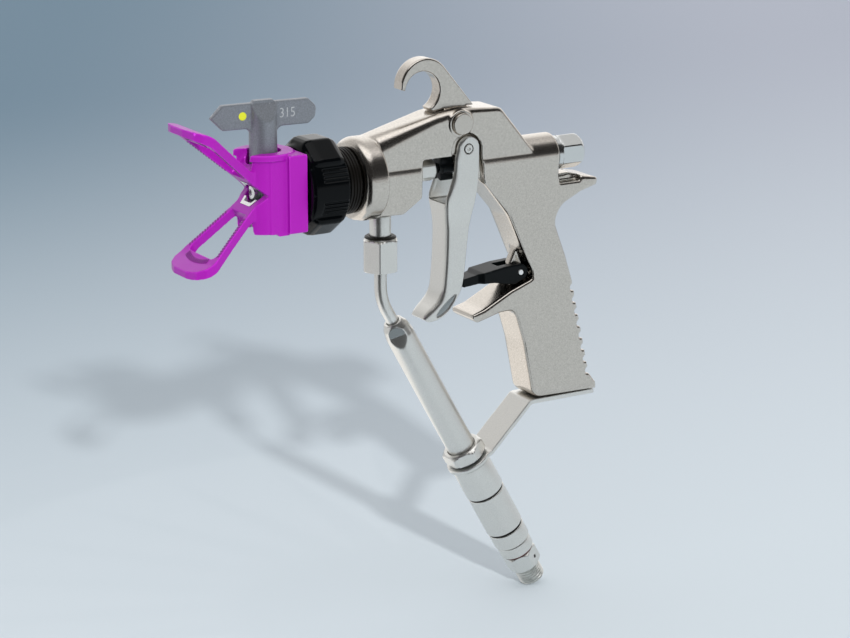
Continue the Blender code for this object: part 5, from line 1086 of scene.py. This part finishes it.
def make_filter():
    """Filter housing with a flatted, shouldered head, the woven screen inside it and the clamp nut."""
    housing = lathe("housing_tube", [(13.5, 3.35, 0.1), (13.5, 4.6, 0.5), (16.5, 6.2, 3), (21.5, 7.1, 5),
                                     (HOUSING_END, HOUSING_R, 0.3), (HOUSING_END, 5.6, 0.2), (25.5, 5.6, 0),
                                     (25.5, 3.35, 0)], LINE, 160,
                    limits=[between(flats(2, HEAD_FLAT, HEAD_FLAT_TURN), 12.5, HEAD_FLAT_END - 4.5, 3.0)], step=0.6)
    finished(housing, BLASTED, "gun", "filter_housing", sharp=24)
    # Dark steel sheets over the head's two flats: painted shade for the dark reflection in the flats.
    s = np.linspace(14.7, HEAD_FLAT_END - 3.4, 26)
    cone = np.interp(s, [14.0, 16.5, 21.5], [4.6, 6.2, 7.05])
    arch = 4.4 * np.sqrt(np.clip(1 - ((s - 17.4).clip(0) / (s[-1] - 17.4)) ** 2, 0.02, 1))
    width = np.minimum(np.sqrt(np.clip(cone ** 2 - HEAD_FLAT ** 2, 0.01, None)), arch)
    flat = np.concatenate([np.stack([s, width], 1), np.stack([s, -width], 1)[::-1]])
    for turn, label in ((HEAD_FLAT_TURN, "near"), (HEAD_FLAT_TURN + pi, "far")):
        out = cos(turn) * LINE[1][1] + sin(turn) * LINE[1][2]
        place = axes(LINE[0], LINE[1][0], np.cross(out, LINE[1][0]))
        shade = prism(f"head_facet_{label}", flat, -HEAD_FLAT + 0.3, -HEAD_FLAT - 0.10, "Z", place)
        finished(shade, PAINTED_SHADE_STEEL, "gun")

    def woven(s, angle, r):
        return np.where(r > 4.7, r - 0.10 + 0.10 * np.cos(24 * angle) * np.cos(2 * pi * s / 1.3), r)
    screen = lathe("screen_tube", [(29.0, 4.4, 0), (29.0, 5.0, 0), (108.0, 5.0, 0), (108.0, 4.4, 0)], LINE, 96,
                   step=0.65, relief=woven)
    finished(screen, MESH_SCREEN, "gun", "filter_screen", sharp=60)
    top, end = HOUSING_END - 19.0, HOUSING_END - 11.6
    nut = lathe("clamp_hexagon", [(top, 7.4, 0.1), (top, 9.0, 0.2), (top + 1.6, 11.0, 0.15),
                                  (end - 1.9, 11.0, 0.15), (end, 8.6, 0.2), (end, 7.4, 0.1)], LINE, 180,
                limits=[flats(6, 9.5, pi / 6)], step=1.0)
    finished(nut, BLASTED, "gun", "filter_nut", sharp=24)
    # A dark steel shell over the clamp nut's lower chamfer: painted shade for the dark reflection on the downward
    # chamfer.
    shade = lathe("clamp_painted_shade", [(end - 2.6, 7.4, 0), (end - 2.6, 11.7, 0), (end + 0.04, 8.66, 0.1),
                                    (end + 0.04, 7.4, 0)], LINE, 180, limits=[flats(6, 9.45, pi / 6)], step=0.3)
    finished(shade, PAINTED_SHADE_STEEL, "gun", sharp=24)


def turned_ring(name, start, end, radius, bore, node, material, edge=0.3):
    """A turned ring on the line with small rounds on its rims."""
    fillet = min(edge, (end - start) * 0.45)
    ring = lathe(name, [(start, bore, 0), (start, radius, fillet), (end, radius, fillet), (end, bore, 0)], LINE)
    finished(ring, material, "gun", node)


def make_inlet():
    """Filter cap, swivel body, rings and seals, and the threaded hose connector."""
    top = HOUSING_END - 8.5
    end = HOUSING_END + 9.5
    cap = lathe("cap_turned", [(top, 7.4, 0), (top, 9.8, 0.4), (end, 9.8, 0.4), (end, 5.8, 0), (112.8, 5.8, 0),
                               (112.8, 7.4, 0)], LINE)
    finished(cap, BLASTED, "gun", "filter_cap")
    turned_ring("cap_ring", end + 0.2, end + 0.9, 9.3, 6.0, "cap_seal", RUBBER)
    start = end + 1.1
    stop = start + 22.9
    swivel = lathe("swivel_turned", [(start - 9, 3.0, 0), (start - 9, 5.4, 0.3), (start, 5.4, 0), (start, 9.6, 0.4),
                                     (stop, 9.6, 0.4), (stop, 5.0, 0), (129.7, 5.0, 0), (129.7, 3.0, 0)], LINE,
                   limits=[between(flats(2, 9.25, radians(35)), start + 5.0, start + 11.0, 3.0)], step=0.5)
    finished(swivel, BLASTED, "gun", "swivel_body", sharp=24)
    turned_ring("swivel_ring_seal", stop + 0.3, stop + 1.0, 9.1, 5.0, "swivel_seal", RUBBER)
    first = stop + 1.3
    turned_ring("swivel_band", first, first + 8.4, 9.3, 5.0, "swivel_ring", BLASTED, 0.4)
    second = first + 8.9
    turned_ring("thrust_band", second, second + 6.0, 8.8, 5.0, "thrust_ring", BLASTED, 0.4)
    turned_ring("dust_lip", second + 6.3, second + 6.9, 8.2, 5.0, "dust_seal", SEAL_RED)
    make_connector(second + 7.2)


def make_connector(top):
    """Hose connector: a six-sided collar with a pin hole, an outside thread and the stem inside the swivel. The
    thread's depth follows a rounded sawtooth of s less one pitch for each turn."""
    hex_end, thread_end, pitch = top + 9.0, top + 18.55, 1.45

    def thread(s, angle, r):
        wave = 0.5 - 0.5 * np.cos(2 * pi * (s / pitch - angle / (2 * pi)))
        fade = np.clip((s - hex_end - 0.9) / 0.6, 0, 1) * np.clip((thread_end - 0.4 - s) / 0.5, 0, 1)
        return np.where(r > 5.5, r - 1.05 * wave ** 1.5 * fade * (s > hex_end), r)
    body = lathe("connector_turned", [(130.0, 3.0, 0), (130.0, 4.6, 0.3), (top, 4.6, 0), (top, 7.8, 0.2),
                                      (top + 0.9, 9.0, 0.2), (hex_end - 0.9, 9.0, 0.2), (hex_end, 7.8, 0.2),
                                      (hex_end, 6.1, 0), (hex_end + 0.8, 6.1, 0), (hex_end + 1.2, 6.7, 0),
                                      (thread_end - 0.9, 6.7, 0), (thread_end, 5.8, 0.1), (thread_end, 3.0, 0)],
                 LINE, 144, limits=[between(flats(6, 7.8, pi / 6), top, hex_end, 0.2)], step=0.18, relief=thread)
    flat_middle = cos(pi / 6) * LINE[1][1] - sin(pi / 6) * LINE[1][2]
    hole = axes(LINE[0] + (top + 5.0) * LINE[1][0], flat_middle, LINE[1][0])
    body = machined("hose_connector_turned", body, [rod("pin_hole", 0.9, 4.0, 12, hole)])
    finished(body, THREAD, "hose_end", "hose_connector", sharp=30)


def make_bracket():
    """Flat plate under the grip, bent down to a ring that the clamp nut holds."""
    thick, radius = 2.2, 11.2
    top = GRIP_BOTTOM_Z - 0.3
    middle = HOUSING_END - 11.6 + 0.3 + thick / 2
    down, out = LINE[1][0], -LINE[1][2]
    centre = LINE[0] + middle * down
    join = centre + out * (radius - 1.5)
    sunk = down * (thick / 2 - 0.1)
    inner, outer = join - sunk, join + sunk
    reach = out * 3.0
    corners = [(GRIP_HEEL_X + 1, top, 0.4), (-98.5, top, 3.0), (*inner[::2], 0), (*(inner - reach)[::2], 0),
               (*(outer - reach)[::2], 0), (*outer[::2], 0), (-99.4, top - thick, 1.5),
               (GRIP_HEEL_X + 1, top - thick, 0.4)]
    strip = prism("bracket_strip", rounded([(x, z, r, 0) for x, z, r in corners])[:, :2], -9.4, 9.4)
    ring = lathe("bracket_ring", [(middle - thick / 2, 0, 0), (middle - thick / 2, radius, 0.3),
                                  (middle + thick / 2, radius, 0.3), (middle + thick / 2, 0, 0)], LINE, 96)
    cuts = [rod("bracket_eye", 7.4, middle - 6, middle + 6, LINE, 96)]
    cuts += [rod("bracket_hole", 2.3, -top - 5, -top + 8, below(x)) for x in SCREW_XS]
    strip = cast("bracket_pressing", strip, [ring], cuts, voxel=0.36, passes=3)
    finished(strip, BLASTED, "gun", "tube_bracket", sharp=0)
    for x, node in zip(SCREW_XS, ("bracket_screw_front", "bracket_screw_rear")):
        head = -top + thick + 0.3
        shape = lathe("screw_turned", [(-GRIP_BOTTOM_Z - 10, 0, 0), (-GRIP_BOTTOM_Z - 10, 2, 0.3), (head, 2, 0),
                                       (head, 3.6, 0.1), (head + 1.8, 3.6, 0.5), (head + 1.8, 0, 0)], below(x), 64)
        six = [(1.25 * cos(k * pi / 3), 1.25 * sin(k * pi / 3)) for k in range(6)]
        socket = prism("socket", six, head + 0.7, head + 4, "X", below(x))
        screw = machined(f"{node}_turned", shape, [socket])
        finished(screw, STEEL, "gun", node)


for make in (make_gun_body, make_hook, make_head, make_needle, make_packing, make_spring_and_cap, make_nut,
             make_guard, make_mouth_liner, make_wing_ribs, make_tip, make_tip_marks, make_tip_seals,
             make_trigger, make_lock, make_nipple, make_pipe, make_filter, make_inlet, make_bracket):
    make()


# ---------------------------------------------------------------- floor, light and camera
CAMERA_TURN = radians(31.5)
CAMERA_RISE = radians(15.5)
CAMERA_PLACE = (0.6768, 1.1102, 0.2393)
CAMERA_LENS = 118.6
FLOOR_HALF = 14.0
FLOOR_Z = CAD_BOX[0].z + 0.001      # the cards' lower edges, just clear of the floor
FLOOR_FRONT = (0.70, 0.765, 0.80)
# The floor's back colours are painted shade: the floor darkens towards the back as if the light fell off there.
FLOOR_PAINTED_SHADE_BACK_LEFT = (0.177, 0.255, 0.32)
FLOOR_PAINTED_SHADE_BACK_RIGHT = (0.45, 0.475, 0.54)
CEILING = 1.55
SIDE_WALL = 0.68
BACK_WALL = 1.35
TENT = (0.74, 0.75, 0.77)
BACKDROP = (0.50, 0.54, 0.60)
KEY_STRENGTH = 1.6
KEY_DIRECTION = (-0.75, -2.75, -1.55)
AWAY = (-sin(CAMERA_TURN), -cos(CAMERA_TURN), 0.0)
RIGHT = (-cos(CAMERA_TURN), sin(CAMERA_TURN), 0.0)


def blend_along(tree, where, direction, start, end, near, far):
    """Colour that runs from near to far along one direction of the given coordinates, between two distances."""
    reach = tree.nodes.new("ShaderNodeVectorMath")
    reach.operation = "DOT_PRODUCT"
    reach.inputs[1].default_value = direction
    tree.links.new(where, reach.inputs[0])
    share = tree.nodes.new("ShaderNodeMapRange")
    share.interpolation_type = "SMOOTHSTEP"
    share.inputs["From Min"].default_value = start
    share.inputs["From Max"].default_value = end
    tree.links.new(reach.outputs["Value"], share.inputs["Value"])
    return mix_colours(tree, share.outputs[0], near, far)


def matt_paint(name, roughness, specular):
    """A plain paint and its shader."""
    paint = bpy.data.materials.new(name)
    paint.use_nodes = True
    shader = paint.node_tree.nodes["Principled BSDF"]
    shader.inputs["Roughness"].default_value = roughness
    shader.inputs["Specular IOR Level"].default_value = specular
    return paint, shader


def make_stage():
    """A wide floor under the gun's lowest point, pale in front, and cooler and darker towards the back left as
    painted
    shade: a falloff of light laid into the floor's colour.
    """
    corners = [(x * FLOOR_HALF, y * FLOOR_HALF, CAD_BOX[0].z) for x, y in ((-1, -1), (1, -1), (1, 1), (-1, 1))]
    floor = mesh_object("floor", corners, [(0, 1, 2, 3)])
    paint, shader = matt_paint("floor_paint", 0.9, 0.1)
    tree = paint.node_tree
    where = tree.nodes.new("ShaderNodeTexCoord").outputs["Object"]
    back = blend_along(tree, where, RIGHT, -0.45, 0.45, FLOOR_PAINTED_SHADE_BACK_LEFT, FLOOR_PAINTED_SHADE_BACK_RIGHT)
    slant = tuple(a - 0.45 * b for a, b in zip(AWAY, RIGHT))
    tree.links.new(blend_along(tree, where, slant, -0.35, 1.55, FLOOR_FRONT, back), shader.inputs["Base Color"])
    floor.data.materials.append(paint)


def make_world():
    """Soft studio: an even tent for matt surfaces; gloss shows a bright ceiling and back, and a dim front."""
    world = bpy.data.worlds.new("studio")
    bpy.context.scene.world = world
    world.use_nodes = True
    tree = world.node_tree
    back = tree.nodes["Background"]
    where = tree.nodes.new("ShaderNodeTexCoord").outputs["Generated"]
    split = tree.nodes.new("ShaderNodeSeparateXYZ")
    tree.links.new(where, split.inputs[0])
    ramp = tree.nodes.new("ShaderNodeValToRGB")
    stops = ramp.color_ramp.elements
    stops[0].position, stops[0].color = 0.0, (0.75, 0.77, 0.80, 1)
    stops[1].position, stops[1].color = 1.0, (CEILING, CEILING, CEILING, 1)
    for place, level in ((0.04, 0.65), (0.09, 0.03), (0.78, 0.03), (0.88, CEILING)):
        stop = stops.new(place)
        stop.color = (level, level, level * 1.02, 1)
    tree.links.new(split.outputs["Z"], ramp.inputs[0])
    studio = blend_along(tree, where, AWAY, -0.05, 0.35, ramp.outputs[0], (SIDE_WALL, SIDE_WALL, SIDE_WALL))
    studio = blend_along(tree, where, AWAY, 0.50, 0.85, studio, (BACK_WALL, BACK_WALL, BACK_WALL))
    path = tree.nodes.new("ShaderNodeLightPath")
    for rays, colour in (("Is Diffuse Ray", TENT), ("Is Camera Ray", BACKDROP)):
        studio = mix_colours(tree, path.outputs[rays], studio, colour)
    tree.links.new(studio, back.inputs["Color"])
    back.inputs["Strength"].default_value = 1.0


def make_key():
    """Soft key: a sun from the gun's left and front, which metal doesn't mirror."""
    light = bpy.data.lights.new("key", "SUN")
    light.energy = KEY_STRENGTH
    light.angle = radians(3.0)
    lamp = bpy.data.objects.new("key", light)
    lamp.rotation_mode = "QUATERNION"
    lamp.rotation_quaternion = Vector(KEY_DIRECTION).to_track_quat("-Z", "Y")
    lamp.visible_glossy = False
    bpy.context.scene.collection.objects.link(lamp)


def make_card(name, turns, near, far, glow):
    """A card that only reflections see: a ramp about the gun between two headings (degrees), from a near
    (reach, z) edge to a far one."""
    turn = np.radians(np.linspace(*turns, 9))
    verts = [(reach * cos(a), reach * sin(a), z) for reach, z in (near, far) for a in turn]
    card = mesh_object(name, verts, [(i, i + 1, i + 10, i + 9) for i in range(8)])
    paint, shader = matt_paint(f"{name}_paint", 1.0, 0.0)
    shader.inputs["Base Color"].default_value = (0.01, 0.01, 0.01, 1.0)
    shader.inputs["Emission Color"].default_value = (*glow, 1.0)
    shader.inputs["Emission Strength"].default_value = 1.0
    card.data.materials.append(paint)
    card.visible_camera = False
    card.visible_diffuse = False
    card.visible_shadow = False


def make_camera():
    """Long lens at the photograph's angle, above and in front of the gun's left side."""
    data = bpy.data.cameras.new("camera")
    data.lens = CAMERA_LENS
    data.sensor_width = 36.0
    data.clip_end = 100.0
    camera = bpy.data.objects.new("camera", data)
    camera.location = CAMERA_PLACE
    camera.rotation_mode = "QUATERNION"
    look = Vector((AWAY[0] * cos(CAMERA_RISE), AWAY[1] * cos(CAMERA_RISE), -sin(CAMERA_RISE)))
    camera.rotation_quaternion = look.to_track_quat("-Z", "Y")
    bpy.context.scene.collection.objects.link(camera)
    bpy.context.scene.camera = camera


make_stage()
make_world()
make_key()
make_card("black_card", (14, 62), (0.24, FLOOR_Z), (0.85, 0.06), (0.0, 0.0, 0.0))
make_card("near_black_card", (14, 66), (0.17, FLOOR_Z), (0.24, FLOOR_Z), (0.0, 0.0, 0.0))
make_card("white_card", (-90, 8), (0.26, FLOOR_Z), (0.85, 0.06), (0.70, 0.71, 0.72))
make_card("near_card", (-115, 4), (0.09, FLOOR_Z), (0.26, FLOOR_Z), (1.15, 1.14, 1.12))
make_camera()
bpy.context.scene.view_settings.view_transform = "Standard"
